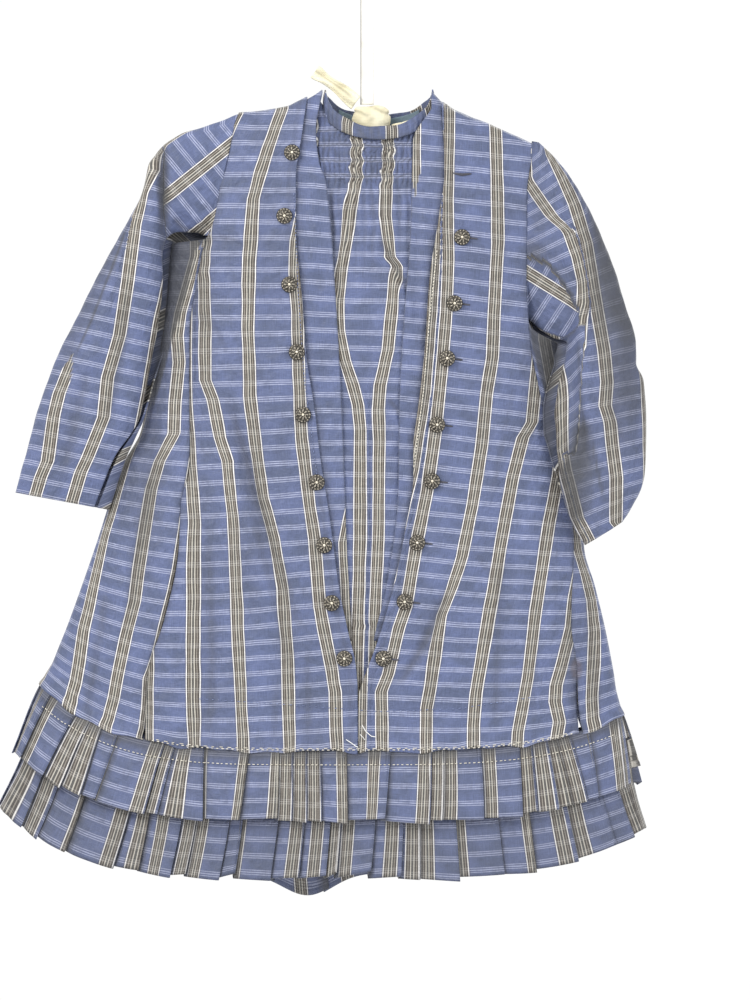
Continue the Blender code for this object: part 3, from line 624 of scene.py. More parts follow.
def setScene():
    scene = bpy.context.scene
    camera = bpy.data.objects.new("camera", bpy.data.cameras.new("camera"))
    scene.collection.objects.link(camera)
    camera.location = view["place"]
    camera.rotation_euler = (pi / 2, 0, 0)
    camera.data.lens = view["lens"]
    scene.camera = camera
    for name in ("key", "fill", "back"):
        place, size, power, colour = view[name]
        lamp = bpy.data.lights.new(name, "AREA")
        lamp.size, lamp.energy, lamp.color = size, power, colour
        light = bpy.data.objects.new(name, lamp)
        scene.collection.objects.link(light)
        light.location = place
        light.rotation_euler = (Vector((0, 0, -0.40)) - Vector(place)).to_track_quat("-Z", "Y").to_euler()
    world = bpy.data.worlds.new("studio")
    scene.world = world
    world.use_nodes = True
    world.node_tree.nodes["Background"].inputs["Color"].default_value = (1.0, 1.0, 1.0, 1.0)
    world.node_tree.nodes["Background"].inputs["Strength"].default_value = 1.02
    scene.view_settings.view_transform = "Standard"
    material, shader, make = newMaterial("paleFloor")
    grain = noise(make, make("TexCoord").outputs["Object"], 40.0)
    pale = ramp(make, grain, [(0.3, 0.86), (0.7, 0.9)]).outputs[0]
    linkTo(material, pale, shader.inputs["Base Color"])
    shader.inputs["Roughness"].default_value = 0.9
    turn = roundTurn(64)
    disc = stacked(np.cos(turn), np.sin(turn), np.zeros(64)) * view["floorRadius"]
    floor = meshPiece("floor", disc + (0, 0, view["floorLevel"]), [range(64)], [material])


# ---- Small made things: tubes, beads and dashes, each returning points and faces.
def gridFaces(rows, columns, closed):
    index = np.arange(rows * columns).reshape(rows, columns)
    if closed:
        index = np.concatenate([index, index[:, :1]], axis=1)
    return stacked(index[:-1, :-1], index[:-1, 1:], index[1:, 1:], index[1:, :-1]).reshape(-1, 4)


def capFaces(rows, columns):
    # The end faces of a stack of rings that run clockwise seen from the first one.
    return [list(range(columns)), list(range((rows - 1) * columns, rows * columns))[::-1]]


def tubeShape(path, radii, sides=8):
    # Circles of the given radii across the path, tapering to its two ends.
    path = np.asarray(path, float)
    way = np.gradient(path, axis=0)
    way /= np.linalg.norm(way, axis=1, keepdims=True)
    side = np.cross(way, np.array([0.11, 0.93, 0.35]))
    side /= np.linalg.norm(side, axis=1, keepdims=True)
    over = np.cross(way, side)
    turn = roundTurn(sides)[None, :, None]
    radii = np.broadcast_to(np.asarray(radii, float), (len(path),))[:, None, None]
    ring = (np.cos(turn) * side[:, None] + np.sin(turn) * over[:, None]) * radii
    points = (path[:, None] + ring).reshape(-1, 3)
    faces = gridFaces(len(path), sides, True)
    low, high = len(points), len(points) + 1
    points = np.vstack([points, path[:1] - way[:1] * radii[0] * 0.4, path[-1:] + way[-1:] * radii[-1] * 0.4])
    ends = [(*pair[::-1], low) for pair in zip(range(sides), [*range(1, sides), 0])]
    last = (len(path) - 1) * sides
    ends += [(last + a, last + b, high) for a, b in zip(range(sides), [*range(1, sides), 0])]
    return points, [*faces.tolist(), *ends]


def beadShape(centre, radii, rings=5, sides=10):
    # A squashed ball as circles stacked along -Y.
    tilt = np.linspace(0.06 * pi, 0.94 * pi, rings)[:, None]
    turn = roundTurn(sides)
    ball = stacked(np.sin(tilt) * np.cos(turn), -np.cos(tilt), np.sin(tilt) * np.sin(turn))
    points = ball.reshape(-1, 3) * radii + centre
    faces = gridFaces(rings, sides, True)[:, ::-1].tolist()
    return points, faces + capFaces(rings, sides)


def joined(shapes):
    # Several (points, faces, material number) as one.
    points, faces, kinds, start = [], [], [], 0
    for shapePoints, shapeFaces, kind in shapes:
        points.append(shapePoints)
        faces += [[corner + start for corner in face] for face in shapeFaces]
        kinds += [kind] * len(shapeFaces)
        start += len(shapePoints)
    return np.vstack(points), faces, kinds


def dashShapes(path, outward, pitch, size, gapShare=0.5, shift=0.0):
    # Small bricks along the path: each is pitch * gapShare long, and size wide and high.
    path = np.asarray(path, float)
    at = arcLength(path[None])[0]
    start = np.arange(pitch * (0.3 + shift), at[-1] - pitch, pitch)
    uneven = 1 + 0.22 * np.sin(np.arange(len(start)) * 2.39)
    stop = start + pitch * gapShare * uneven

    def point(where):
        return np.stack([np.interp(where, at, path[:, axis]) for axis in range(3)], axis=-1)

    a, b = point(start), point(stop)
    way = (b - a) / np.linalg.norm(b - a, axis=1, keepdims=True)
    out = np.asarray(outward, float)
    side = np.cross(way, out)
    side /= np.linalg.norm(side, axis=1, keepdims=True)
    half = side * size / 2
    rise = out * size * 0.55
    low = [a - half, b - half, b + half, a + half]
    corners = np.stack([corner - rise * 0.7 for corner in low] + [corner + rise for corner in low], axis=1)
    brick = np.array([(0, 1, 2, 3), (4, 7, 6, 5), (0, 4, 5, 1), (1, 5, 6, 2), (2, 6, 7, 3), (3, 7, 4, 0)])
    faces = (brick[None] + 8 * np.arange(len(start))[:, None, None]).reshape(-1, 4)
    return corners.reshape(-1, 3), faces.tolist()


def riding(piece, slot, *nodes):
    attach(piece, "root")
    if nodes:
        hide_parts(*nodes)
    return piece


def calmEnds(mesh):
    # Every piece has a shade of 1 where nothing darkens it.
    addFloats(mesh, "shade", np.ones(len(mesh.vertices)))


# ---- The tape, its loop and the padded hanger.
hangerSizes = {
    "tapeWidth": 0.0108,
    "tapeThick": 0.0011,
    "tapeFoot": -0.1182,
    "loopLow": -0.030,
    "loopDepth": 0.0045,
    "wrapCentre": (0.0035, 0.0, -0.1325),
    "wrapSize": (0.031, 0.0155, 0.028),
    "tieEnd": millimetres("x z width", -9, -117, 12, -22, -106, 10, -34, -97.5, 9, -42, -92, 10.5),
    "arms": {
        "right": millimetres("x z radius", -13.5, -138.5, 4.8, -35, -134, 5.6, -60, -134, 6, -90, -142, 5.2),
        "left": millimetres("x z radius", 20.5, -138.5, 4.8, 45, -135, 5.6, 75, -143, 6, 112, -161, 5.2),
    },
}


def makeTape():
    # A flat strip standing on the wrapped middle, thicker at its two woven edges, and the loop
    # over it: the same section carried round a flat ring.
    s = hangerSizes
    white = plainCloth("whiteTape", (0.80, 0.79, 0.75), (0.62, 0.59, 0.53), 420.0, 0.85, 0.00025)
    turn = roundTurn(28)
    edge = np.sign(np.cos(turn)) * np.abs(np.cos(turn)) ** 0.5 * s["tapeWidth"] / 2
    deep = np.sin(turn) * s["tapeThick"] / 2 * (1 + 0.35 * np.abs(np.cos(turn)) ** 3)
    z = np.linspace(s["tapeFoot"], s["loopLow"] - 0.0004, 60)[:, None]
    bend = 0.00035 * np.sin((z - s["tapeFoot"]) * 58)
    shape = stacked(edge, deep + bend, z).reshape(-1, 3)
    faces = gridFaces(60, 28, True).tolist() + [face[::-1] for face in capFaces(60, 28)]
    tape = meshPiece("hangingTape", shape, faces, [white])
    # Painted shade along the strip's left edge, where it turns away from the light.
    addFloats(tape.data, "shade", 1 - 0.62 * hill(edge + s["tapeWidth"] / 2, 0.0011) + 0 * z)
    riding(tape, "hanging_tape", "hanger_tape")
    round_ = roundTurn(48)[:, None]
    middle = (s["loopDepth"] - s["tapeThick"] / 2, s["loopLow"] / 2 + s["tapeThick"] / 2)
    y = (middle[0] + deep) * np.sin(round_)
    height = s["loopLow"] / 2 + (-middle[1] + deep) * np.cos(round_)
    ring = stacked(edge, y, height).reshape(-1, 3)
    faces = gridFaces(49, 28, True)[:, [0, 3, 2, 1]] % (48 * 28)
    loop = meshPiece("tapeLoop", ring, faces, [white])
    calmEnds(loop.data)
    riding(loop, "hanging_tape", "hanger_loop")


def makeHanger():
    # The wrapped middle is a rounded block with slanting turns of cloth; the arms are padded bars.
    s = hangerSizes
    cream = plainCloth("creamCotton", (0.80, 0.76, 0.58), (0.58, 0.52, 0.34), 260.0, 0.9, 0.0004)
    tilt = np.linspace(-0.5 * pi, 0.5 * pi, 60)[:, None]
    turn = roundTurn(96)

    def bulge(value, power):
        return np.sign(value) * np.abs(value) ** power

    flat = bulge(np.cos(tilt), 0.42)
    x = flat * bulge(np.cos(turn), 0.5)
    y = flat * bulge(np.sin(turn), 0.7)
    z = bulge(np.sin(tilt), 0.5) + 0 * turn
    turns = 0.5 + 0.5 * np.sin((z + 0.42 * x) * 8.2 + 0.9 * np.sin(x * 3))
    dents = 1 - 0.085 * turns**6 - 0.05 * waver(x, z, 0.30, 2.0)
    half = np.array(s["wrapSize"]) / 2
    block = stacked(x * dents * half[0], y * dents * half[1], z * half[2] * (0.94 + 0.04 * np.sin(5 * x)))
    wrap = meshPiece("wrappedMiddle", block.reshape(-1, 3) + s["wrapCentre"], gridFaces(60, 96, True), [cream])
    # Painted shade in the grooves between the turns of cloth.
    addFloats(wrap.data, "shade", 1 - 0.30 * turns**5)
    riding(wrap, "hanger_cotton", "hanger_wrap")
    t = np.linspace(0, 1, 40)[:, None]
    across = np.linspace(-1, 1, 16)
    end = sampled(s["tieEnd"], t)
    width = end["width"] * (1 + 0.12 * np.sin(9 * t))
    x = end["x"] + across * width / 2 * 0.59
    z = end["z"] + across * width / 2 * 0.80
    y = -0.0042 - 0.0013 * np.cos(across * 4.2 + 3 * t) - 0.0006 * np.sin(14 * t + 2 * across)
    tie = meshPiece("tieEnd", stacked(x, y, z).reshape(-1, 3), gridFaces(40, 16, False), [cream])
    # Painted shade in a soft band along the tie end, fading in from its start.
    addFloats(tie.data, "shade", 1 - 0.35 * hill(across - 0.15, 0.22) * ease(t, 0, 0.2))
    thicken(tie, 0.0009, 0)
    riding(tie, "hanger_cotton", "hanger_tie")
    for side, rows in s["arms"].items():
        t = np.linspace(0, 1, 70)
        line = sampled(rows, t)
        radius = line["radius"] * (0.90 + 0.10 * np.abs(np.sin(t * 27)) ** 0.5)
        arm = meshPiece(
            f"paddedArm{side.title()}", *tubeShape(stacked(line["x"], 0, line["z"]), radius, 20), [cream]
        )
        calmEnds(arm.data)
        riding(arm, "hanger_cotton", f"hanger_arm_{side}")
    print("hanger made")


# ---- The skirt and bodice panels.
panelSteps = 0.0021       # grid pitch over the panels
ledge = -0.6352           # nominal height where the skirt's turned edge stands over the flounce
backSeam = 0.86           # the share of the half width where side meets back
armpitRight = -0.2265
armpitLeft = -0.2935
surfaces = {}             # points of the fronts, the back and the flounces, to lay stitches on


def skirtLedge(height):
    # How far the turned hem edge stands out: nothing under the ledge, then 4 mm fading out upwards.
    return 0.0040 * ease(height, ledge - 0.0016, ledge) * (1 - 0.6 * ease(height, ledge, ledge + 0.010)) * (
        1 - ease(height, ledge + 0.006, ledge + 0.030)
    )


def raggedHem(x, height):
    # The turned edge wanders up and down, fading out 9 mm to each side of it.
    wander = np.sin(x * 95 + 1.3 * np.sin(x * 41)) + 0.6 * np.sin(x * 231 + 1)
    return 0.0013 * wander * hill(height - ledge, 0.009)


def shadeBelowLedge(height):
    # Painted shade: the cloth is darker under its turned edge, where the flounce covers it.
    return mix(0.45, 1.0, ease(height, ledge - 0.004, ledge + 0.0004))


def panelHeights(low, high):
    # Even steps, with close ones round the ledge.
    below = np.linspace(low, ledge - 0.0026, 10)
    fold = np.linspace(ledge - 0.0020, ledge + 0.0008, 7)
    above = np.linspace(ledge + 0.0024, high, int((high - ledge) / panelSteps))
    return np.concatenate([below, fold, above])


frontRight = {
    "seed": 1.3,
    # painted shade over the whole front, for how the light falls on it
    "toneAndShade": 0.93,
    "routes": [
        route(-632, -137.6, -454, -137.6, -430, -139.2, -408, -141.6, -356, -144.8, -116, -146.4),
        route(
            -624, -98.4, -508, -104, -448, -106.4, -405, -110.4, -386, -116.8, -356, -123.2, -340, -129.6,
            -224, -130.4, -188, -125.6, -148, -114.4, -126, -104,
        ),
        route(
            -632, -61.6, -548, -63.2, -507, -67.2, -466, -74.4, -434, -83.2, -394, -88.8, -352, -93.6,
            -298, -94.4, -245, -93.6, -195, -91.2, -153, -79.2, -122, -68,
        ),
        route(
            -632, -24, -588, -24.8, -567, -28.8, -521, -37.6, -468, -41.6, -441, -45.6, -387, -52, -336, -54.4,
            -286, -55.2, -254, -57.6, -228, -56.8, -196, -50.4, -116, -40.8,
        ),
    ],
    "lean": table("z slope", (-0.64, -0.05), (-0.55, -0.09), (-0.42, -0.06), (-0.28, 0.00), (-0.12, 0.02)),
    "folds": [
        -113.6, -350, -90, -436, -54, -560, 4.5, -3, -122, -360, -99, -446, -64, -560, 7.5, 2.1,
        -90, -430, -72, -500, -40, -590, 6, 1.5, -100, -190, -98, -260, -96, -330, 9, 1.2,
        -76, -180, -78, -240, -76, -310, 7, -1, -150, -450, -147, -540, -150, -636, 12, 2.1,
        -129, -460, -126, -550, -128, -636, 6.5, -1.8, -88, -520, -85, -580, -84, -636, 11, 1.8,
        -47, -545, -48, -590, -46, -636, 7, -1.5, -25, -570, -30, -600, -30, -636, 8, 1.2,
        -134, -236, -116, -228, -94, -238, 4.5, -1.2, -136, -258, -120, -254, -100, -272, 5, 1.1,
        -138, -290, -124, -300, -108, -330, 6, -1, -100, -140, -94, -160, -84, -185, 5, 0.8,
    ],
    "shadows": [-92, -455, 12, 60, 0.26, -62, -545, 10, 30, 0.2, -132, -260, 10, 60, 0.22],
    "paintedShadeLines": [
        -113.6, -346, -86, -436, -50, -548, 3.6, 0.4, -94, -440, -78, -500, -60, -580, 3, 0.24,
        -128, -440, -124, -540, -126, -632, 3.4, 0.28, -48, -552, -47, -590, -46, -632, 2.8, 0.26,
        -70, -575, -73, -600, -74, -632, 2.8, 0.2, -134, -232, -116, -226, -94, -236, 2.4, 0.24,
        -138, -286, -124, -296, -108, -326, 2.6, 0.22,
    ],
}
frontLeft = {
    "seed": 2.9,
    "routes": [
        route(
            -640, -6, -560, -4, -500, 17.5, -440, 30, -412, 36.8, -350, 46, -290, 50.8, -236, 54, -190, 56,
            -129, 56,
        ),
        route(
            -633, 12, -588, 11.2, -574, 16.8, -537, 25.6, -521, 31.2, -474, 39.2, -428, 48, -394, 52.8,
            -336, 59.2, -285, 63.2, -244, 64.8, -196, 64, -129, 65.6,
        ),
        route(
            -634, 47.2, -602, 47.2, -576, 52, -528, 59.2, -506, 68, -481, 76, -441, 84, -394, 91.2, -352, 95.2,
            -322, 100, -290, 101.6, -230, 104.8, -138, 103.2,
        ),
        route(
            -639, 84.8, -615, 84.8, -590, 87.2, -542, 95.2, -493, 103.2, -456, 109.6, -418, 116.8, -386, 124.8,
            -374, 132, -335, 136, -300, 139.2, -244, 144.8,
        ),
        route(
            -639, 119.2, -621, 120, -578, 128, -523, 135.2, -493, 140, -456, 145.6, -418, 152.8, -396, 156,
            -356, 166.4,
        ),
        route(
            -630, 150.4, -613, 153.6, -597, 150.4, -584, 151.2, -566, 156, -537, 163.2, -514, 165.6,
            -452, 178.4,
        ),
    ],
    "lean": table("z slope", (-0.64, 0.02), (-0.55, 0.08), (-0.42, 0.12), (-0.28, 0.12), (-0.12, 0.08)),
    "folds": [
        66, -500, 48, -545, 22, -586, 4.2, -2.8, 74, -490, 56, -545, 32, -590, 7, 2,
        123, -300, 113, -380, 98, -460, 10, 1.7, 106, -290, 98, -370, 86, -450, 6.5, -1.4,
        140, -400, 130, -480, 118, -560, 9, 1.8, 118, -470, 108, -545, 104, -636, 6.5, -1.8,
        153, -470, 146, -550, 140, -636, 10, 1.8, 64, -560, 66, -600, 64, -636, 9, 1.6,
        33, -590, 34, -612, 32, -636, 6, -1.1, 85, -180, 86, -240, 82, -310, 8, 1,
        120, -170, 112, -200, 112, -250, 7, -1, 95, -500, 88, -560, 86, -620, 9, 1.2,
        165, -575, 168, -605, 162, -636, 4.5, -2.2,
    ],
    "shadows": [50, -545, 9, 30, 0.2, 166, -565, 11, 45, 0.34, 128, -330, 8, 60, 0.22],
    "paintedShadeLines": [
        69, -498, 46.4, -548, 22, -588, 3.4, 0.42, 80, -464, 92, -486, 108, -504, 3, 0.22,
        108, -470, 104, -545, 102, -632, 3.2, 0.28, 138, -500, 134, -560, 132, -632, 3, 0.22,
        52, -570, 52, -600, 50, -632, 2.8, 0.24, 120, -330, 108, -390, 96, -450, 3.4, 0.2,
        154, -430, 150, -480, 150, -540, 3, 0.24,
    ],
}
sideRight = {
    "seed": 4.1,
    "routes": [
        route(
            -594, -234.4, -566, -229.6, -542, -226.4, -511, -220.8, -466, -212, -436, -203.2, -388, -191.2,
            -316, -173.6,
        ),
        route(
            -615, -205.6, -578, -199.2, -547, -192.8, -517, -185.6, -491, -182.4, -459, -177.6, -427, -172.8,
            -405, -166.4, -383, -154.4, -358, -153.6, -326, -150.4, -304, -152, -286, -149.6, -240, -136.8,
        ),
        route(
            -628, -176, -578, -173.6, -560, -167.2, -534, -160.8, -509, -154.4, -490, -150.4, -468, -147.2,
            -420, -140, -356, -129.6,
        ),
    ],
    "lean": table("z slope", (-0.64, 0.05), (-0.12, 0.05)),
    "folds": [
        -186, -420, -196, -500, -216, -600, 8, 2.2, -170, -380, -176, -460, -190, -560, 6.5, -1.8,
        -220, -520, -232, -570, -240, -620, 7.5, 2, -208, -500, -214, -560, -222, -620, 5.5, -1.7,
        -156, -280, -158, -340, -164, -400, 5, 1.4,
    ],
    "gap": route(-375, -173.5, -340, -164.5, -300, -153, -262, -142.5, -236, -137, -222, -125),
    "shadows": [-181, -424, 20, 60, 0.34],
    "paintedShadeLines": [
        -150, -300, -164, -350, -174, -400, 6, 0.35, -170, -400, -182, -470, -196, -560, 4, 0.35,
        -208, -500, -217, -560, -228, -630, 3.5, 0.3, -170, -585, -190, -592, -210, -600, 3, 0.15,
    ],
}
sideLeft = {
    "seed": 5.7,
    "routes": [
        route(
            -621, 178.4, -566, 181.6, -542, 182.4, -517, 180.8, -495, 176, -474, 169.6, -396, 158.4,
            -308, 142.4,
        ),
    ],
    "lean": table("z slope", (-0.64, 0.02), (-0.12, 0.10)),
    "folds": [
        175, -480, 186, -540, 196, -600, 6, 2, 168, -500, 176, -560, 182, -620, 4.5, -1.8,
        164, -400, 168, -440, 176, -480, 5, 1.2,
    ],
    "gap": route(-400, 157, -372, 149.5, -352, 143, -328, 135, -308, 130.8, -290, 128.5),
    "shadows": [172, -440, 12, 50, 0.35],
    "paintedShadeLines": [172, -490, 180, -550, 186, -630, 4, 0.35],
}
back = {
    "seed": 7.9,
    "facing": 1,
    "routes": [
        route(-760, 5 + 42.92 * i, -450, 5 + 39.22 * i, -100, 5 + 37 * i) for i in range(-6, 6)
    ],
    "lean": table("z slope", (-0.76, 0.0), (-0.10, 0.03)),
    "folds": [
        -175, -420, -186, -520, -200, -640, 12, 3.4, -145, -400, -152, -510, -160, -640, 8, -2.6,
        -115, -350, -118, -480, -126, -640, 11, 3, -75, -380, -80, -500, -86, -640, 8, -2.4,
        -40, -330, -42, -470, -46, -640, 12, 2.8, 5, -420, 4, -530, 2, -640, 8, -2.2,
        45, -350, 48, -480, 54, -640, 11.5, 3, 85, -400, 90, -510, 96, -640, 8, -2.4,
        120, -370, 126, -490, 134, -640, 11, 3, 145, -440, 152, -530, 162, -640, 7.5, -2.4,
        -90, -160, -70, -240, -60, -330, 10, 1.4, 100, -180, 80, -250, 70, -340, 10, 1.4,
        -115, -240, -90, -250, -70, -290, 6, -1.2, 115, -300, 95, -310, 75, -350, 6, -1.2,
    ],
}


def panelCloth(name, spec, x, height, points, material, node, flip):
    # Folds the panel and stands its hem edge off the flounce.
    outward = np.zeros_like(points)
    outward[..., 1] = np.sign(points[..., 1] - bodyValue("middle", height)) * skirtLedge(height)
    outward[..., 2] = raggedHem(x, height)
    points = points + outward
    out, weave, shade = foldedPanel(spec, x, points)
    weave[..., 1] += (height - points[..., 2]) / weftRepeat
    if name.startswith("front"):
        fromEdge = np.abs(x - x[:, :1])
        out[..., 1] -= 0.0006 * hill(fromEdge, 0.0035)
        # Painted shade in a line 5.5 mm in from the front edge, and along the side seam.
        shade = shade * (1 - 0.20 * hill(fromEdge - 0.0055, 0.0022)) * (1 - 0.26 * hill(x - x[:, -1:], 0.0030))
    shade = shade * shadeBelowLedge(height)
    out[..., 1] = np.where(height > height.max() - 0.004, points[..., 1], out[..., 1])
    piece = clothPiece(name, out, weave, shade, material, node, flip=flip)
    surfaces[name] = out
    return piece


def makeFronts(material):
    # Rows follow the front edge and the side seam, then bow into the shoulder edge.
    for name, node, spec, edgeIn, seam, top, armpit in (
        ("frontRight", "front_right", frontRight, frontEdgeRight, sideSeamRight, topFrontRight, armpitRight),
        ("frontLeft", "front_left", frontLeft, frontEdgeLeft, sideSeamLeft, topFrontLeft, armpitLeft),
    ):
        heights = panelHeights(hem, armpit)
        x, height = panelGrid(edgeIn, seam, top, heights, heights, 84, int(0.11 / panelSteps) + 20)
        flip, cut = name == "frontRight", (0.190, 0.575, 0.072)
        panelCloth(name, spec, x, height, bodyPoint(x, height), material, node, flip)
    print("fronts made")


def gapShade(x, z, spec, way):
    # Painted deep shade past the line where a sleeve's hollow hides the panel, fading out at the line's low
    # end.
    line = np.interp(z, spec["gap"]["z"], spec["gap"]["x"])
    fade = ease(z, spec["gap"]["z"][0], spec["gap"]["z"][0] + 0.035)
    return 1 - 0.92 * ease(way * (x - line), -0.0006, 0.0014) * fade


def makeSides(material):
    # Columns run round the outline by an even turn from the front seam to the back seam.
    columns = 46
    turnShare = np.linspace(0, 1, columns)
    for name, node, spec, seam, armpit, dip, way, size in (
        ("sideRight", "side_right", sideRight, sideSeamRight, armpitRight, 0.003, -1, (0.165, 0.470, 0.055)),
        ("sideLeft", "side_left", sideLeft, sideSeamLeft, armpitLeft, 0.017, 1, (0.120, 0.400, 0.034)),
    ):
        level = panelHeights(hem, armpit)[:, None]
        right, left = bodyValue("right", level), bodyValue("left", level)
        middle, half = (left + right) / 2, (left - right) / 2
        start = np.arcsin(np.abs(smooth(level, seam["height"], seam["x"]) - middle) / half)
        angle = mix(start, pi - np.arcsin(backSeam), turnShare)
        x = middle + way * half * np.sin(angle)
        height = level + 0 * x
        ahead, behind = bodyPoint(x, height), bodyPoint(x, height, back=True)
        points = np.where((angle > pi / 2)[..., None], behind, ahead)
        lift = np.sqrt(np.sin(pi * turnShare).clip(0)) * ((level - hem) / (armpit - hem)) ** 6
        points[..., 2] -= dip * lift
        stand = skirtLedge(height)
        points[..., 0] += way * stand * np.sin(angle)
        points[..., 1] -= stand * np.cos(angle)
        points[..., 2] += raggedHem(x, height)
        relief = foldRelief(points[..., 0], points[..., 2], spec["folds"]) * (angle < 0.6 * pi)
        relief = relief + 0.0013 * np.sin(turnShare * 14 + 3 * level) * ease(angle, 0.55 * pi, 0.7 * pi)
        relief = relief * np.sin(pi * turnShare) ** 0.3
        normal = normalsOf(points) * (-1 if way < 0 else 1)
        out = points + normal * relief[..., None]
        arc = arcLength(points)
        unrolled = carriedOn(x, arc, angle, 0.40 * pi, way)
        u = stripeField(unrolled, points[..., 2], spec["routes"])
        lean = np.interp(height, spec["lean"]["z"], spec["lean"]["slope"])
        v = (height + lean * (unrolled - x[:, :1])) / weftRepeat
        # Painted shade: its shadows, dark lines and fold troughs, a dark line along the front seam, the
        # sleeve's hollow and the cloth under the flounce.
        shade = shadeOf(points[..., 0], points[..., 2], spec) * (1 + 50 * relief.clip(-0.005, 0.002))
        shade = shade * (1 - 0.30 * hill(arc, 0.0030))
        shade = shade * gapShade(points[..., 0], points[..., 2], spec, way)
        shade = shade * shadeBelowLedge(height)
        weave = stacked(u, v + 0.4)
        piece = clothPiece(name, out, weave, shade.clip(0.15, 1.1), material, node, flip=way < 0)
    print("sides made")


def makeBack(material):
    # The back seams up to the armpits, then the armholes that the fronts have too.
    level = panelHeights(hem, armpitRight)
    levelLeft = panelHeights(hem, armpitLeft)
    levelLeft = np.interp(np.linspace(0, 1, len(level)), np.linspace(0, 1, len(levelLeft)), levelLeft)
    levelLeft[:17] = level[:17]     # the close rows round the ledge

    def backEdge(heights, seam, way):
        right, left = bodyValue("right", heights), bodyValue("left", heights)
        line = (left + right) / 2 + way * backSeam * (left - right) / 2
        upper = seam["height"] > heights[-1] + 0.010
        above = np.append(heights[-1] + 0.002, seam["height"][upper])
        armhole = smooth(above, seam["height"], seam["x"]) - way * 0.002
        return {"height": np.append(heights, above), "x": np.append(line, armhole)}

    x, height = panelGrid(
        backEdge(level, sideSeamRight, -1), backEdge(levelLeft, sideSeamLeft, 1), topBack,
        level, levelLeft, 130, 50,
    )
    points = bodyPoint(x, height, back=True)
    panelCloth("backCloth", back, x, height, points, material, "back", True)
    print("back made")


# ---- The gathered vest and its two flat strips, each a layer behind the fronts' edges.
tuckIn = 0.0033           # how far an edge runs on under the layer before it
vest = {
    "seed": 3.3,
    "routes": [
        route(
            -564, -8, -468, -5.6, -380, -5.6, -360, -7.2, -344, -11.2, -324, -17.6, -300, -22.4, -276, -23.2,
            -252, -20.8, -228, -16, -204, -13.6, -180, -8.8, -136, -8,
        ),
        route(
            -532, 5.6, -468, 8.8, -388, 9.6, -364, 8.8, -344, 10.4, -316, 16.8, -292, 19.2, -268, 21.6,
            -249, 24, -242, 18.4, -228, 16.8, -208, 14.4, -184, 15.2, -168, 16.8, -136, 16.8,
        ),
    ],
    "lean": table("z slope", (-0.60, 0.05), (-0.30, 0.02), (-0.12, 0.0)),
    "folds": [
        8, -222, 26, -256, 44, -282, 3, -2, 4, -232, 20, -262, 38, -292, 5, 1.4,
        15, -356, 26, -368, 34, -384, 3.2, -1.2, 18, -366, 28, -380, 30, -400, 3, 1,
        -28, -180, -26, -230, -20, -290, 4, -1.2, -18, -180, -18, -215, -20, -260, 3, 1,
        2, -182, 3, -225, 1, -270, 3, -1.2, 24, -180, 26, -205, 30, -235, 3, -1.1,
        -12, -532, 0, -537, 8, -532, 1.8, -1, 0, -440, 2, -500, -2, -580, 3, -1.2,
    ],
    "paintedShadeLines": [
        8, -220, 26, -254, 44, -280, 1.8, 0.5, 15, -354, 26, -366, 34, -382, 1.6, 0.4,
        -28, -176, -26, -230, -20, -290, 2.2, 0.3,
    ],
    "gathers": (-0.140, -0.1515, -0.1640, -0.1765),   # heights of the gathering stitches
    "pucker": 0.0042,
    "deep": 0.0014,
}
stripRight = {
    "seed": 6.1,
    "plainAbove": -0.44,
    "plainBelow": -1.0,
    "routes": [route(-560, -14, -470, -17.8, -440, -12, -300, -8, -100, -4)],
    "lean": table("z slope", (-0.60, -0.10), (-0.30, 0.05), (-0.12, 0.12)),
    "folds": [-44, -150, -42, -210, -40, -270, 4, 0.9, -40, -230, -36, -300, -34, -370, 3.5, -0.8],
}
stripLeft = {
    "seed": 8.3,
    "plainAbove": 0.0,
    "plainBelow": -0.192,
    "routes": [
        route(-560, 18, -516, 26.4, -436, 34.4, -356, 40.8, -276, 42.4, -236, 42.4, -188, 38.4, -136, 38.4),
    ],
    "lean": table("z slope", (-0.60, 0.10), (-0.30, 0.08), (-0.12, 0.06)),
    "folds": [
        42, -200, 40, -260, 38, -320, 3, -1, 46, -180, 45, -230, 43, -280, 3.5, 0.9,
        28, -352, 34, -360, 37, -375, 3, -1.1,
    ],
}


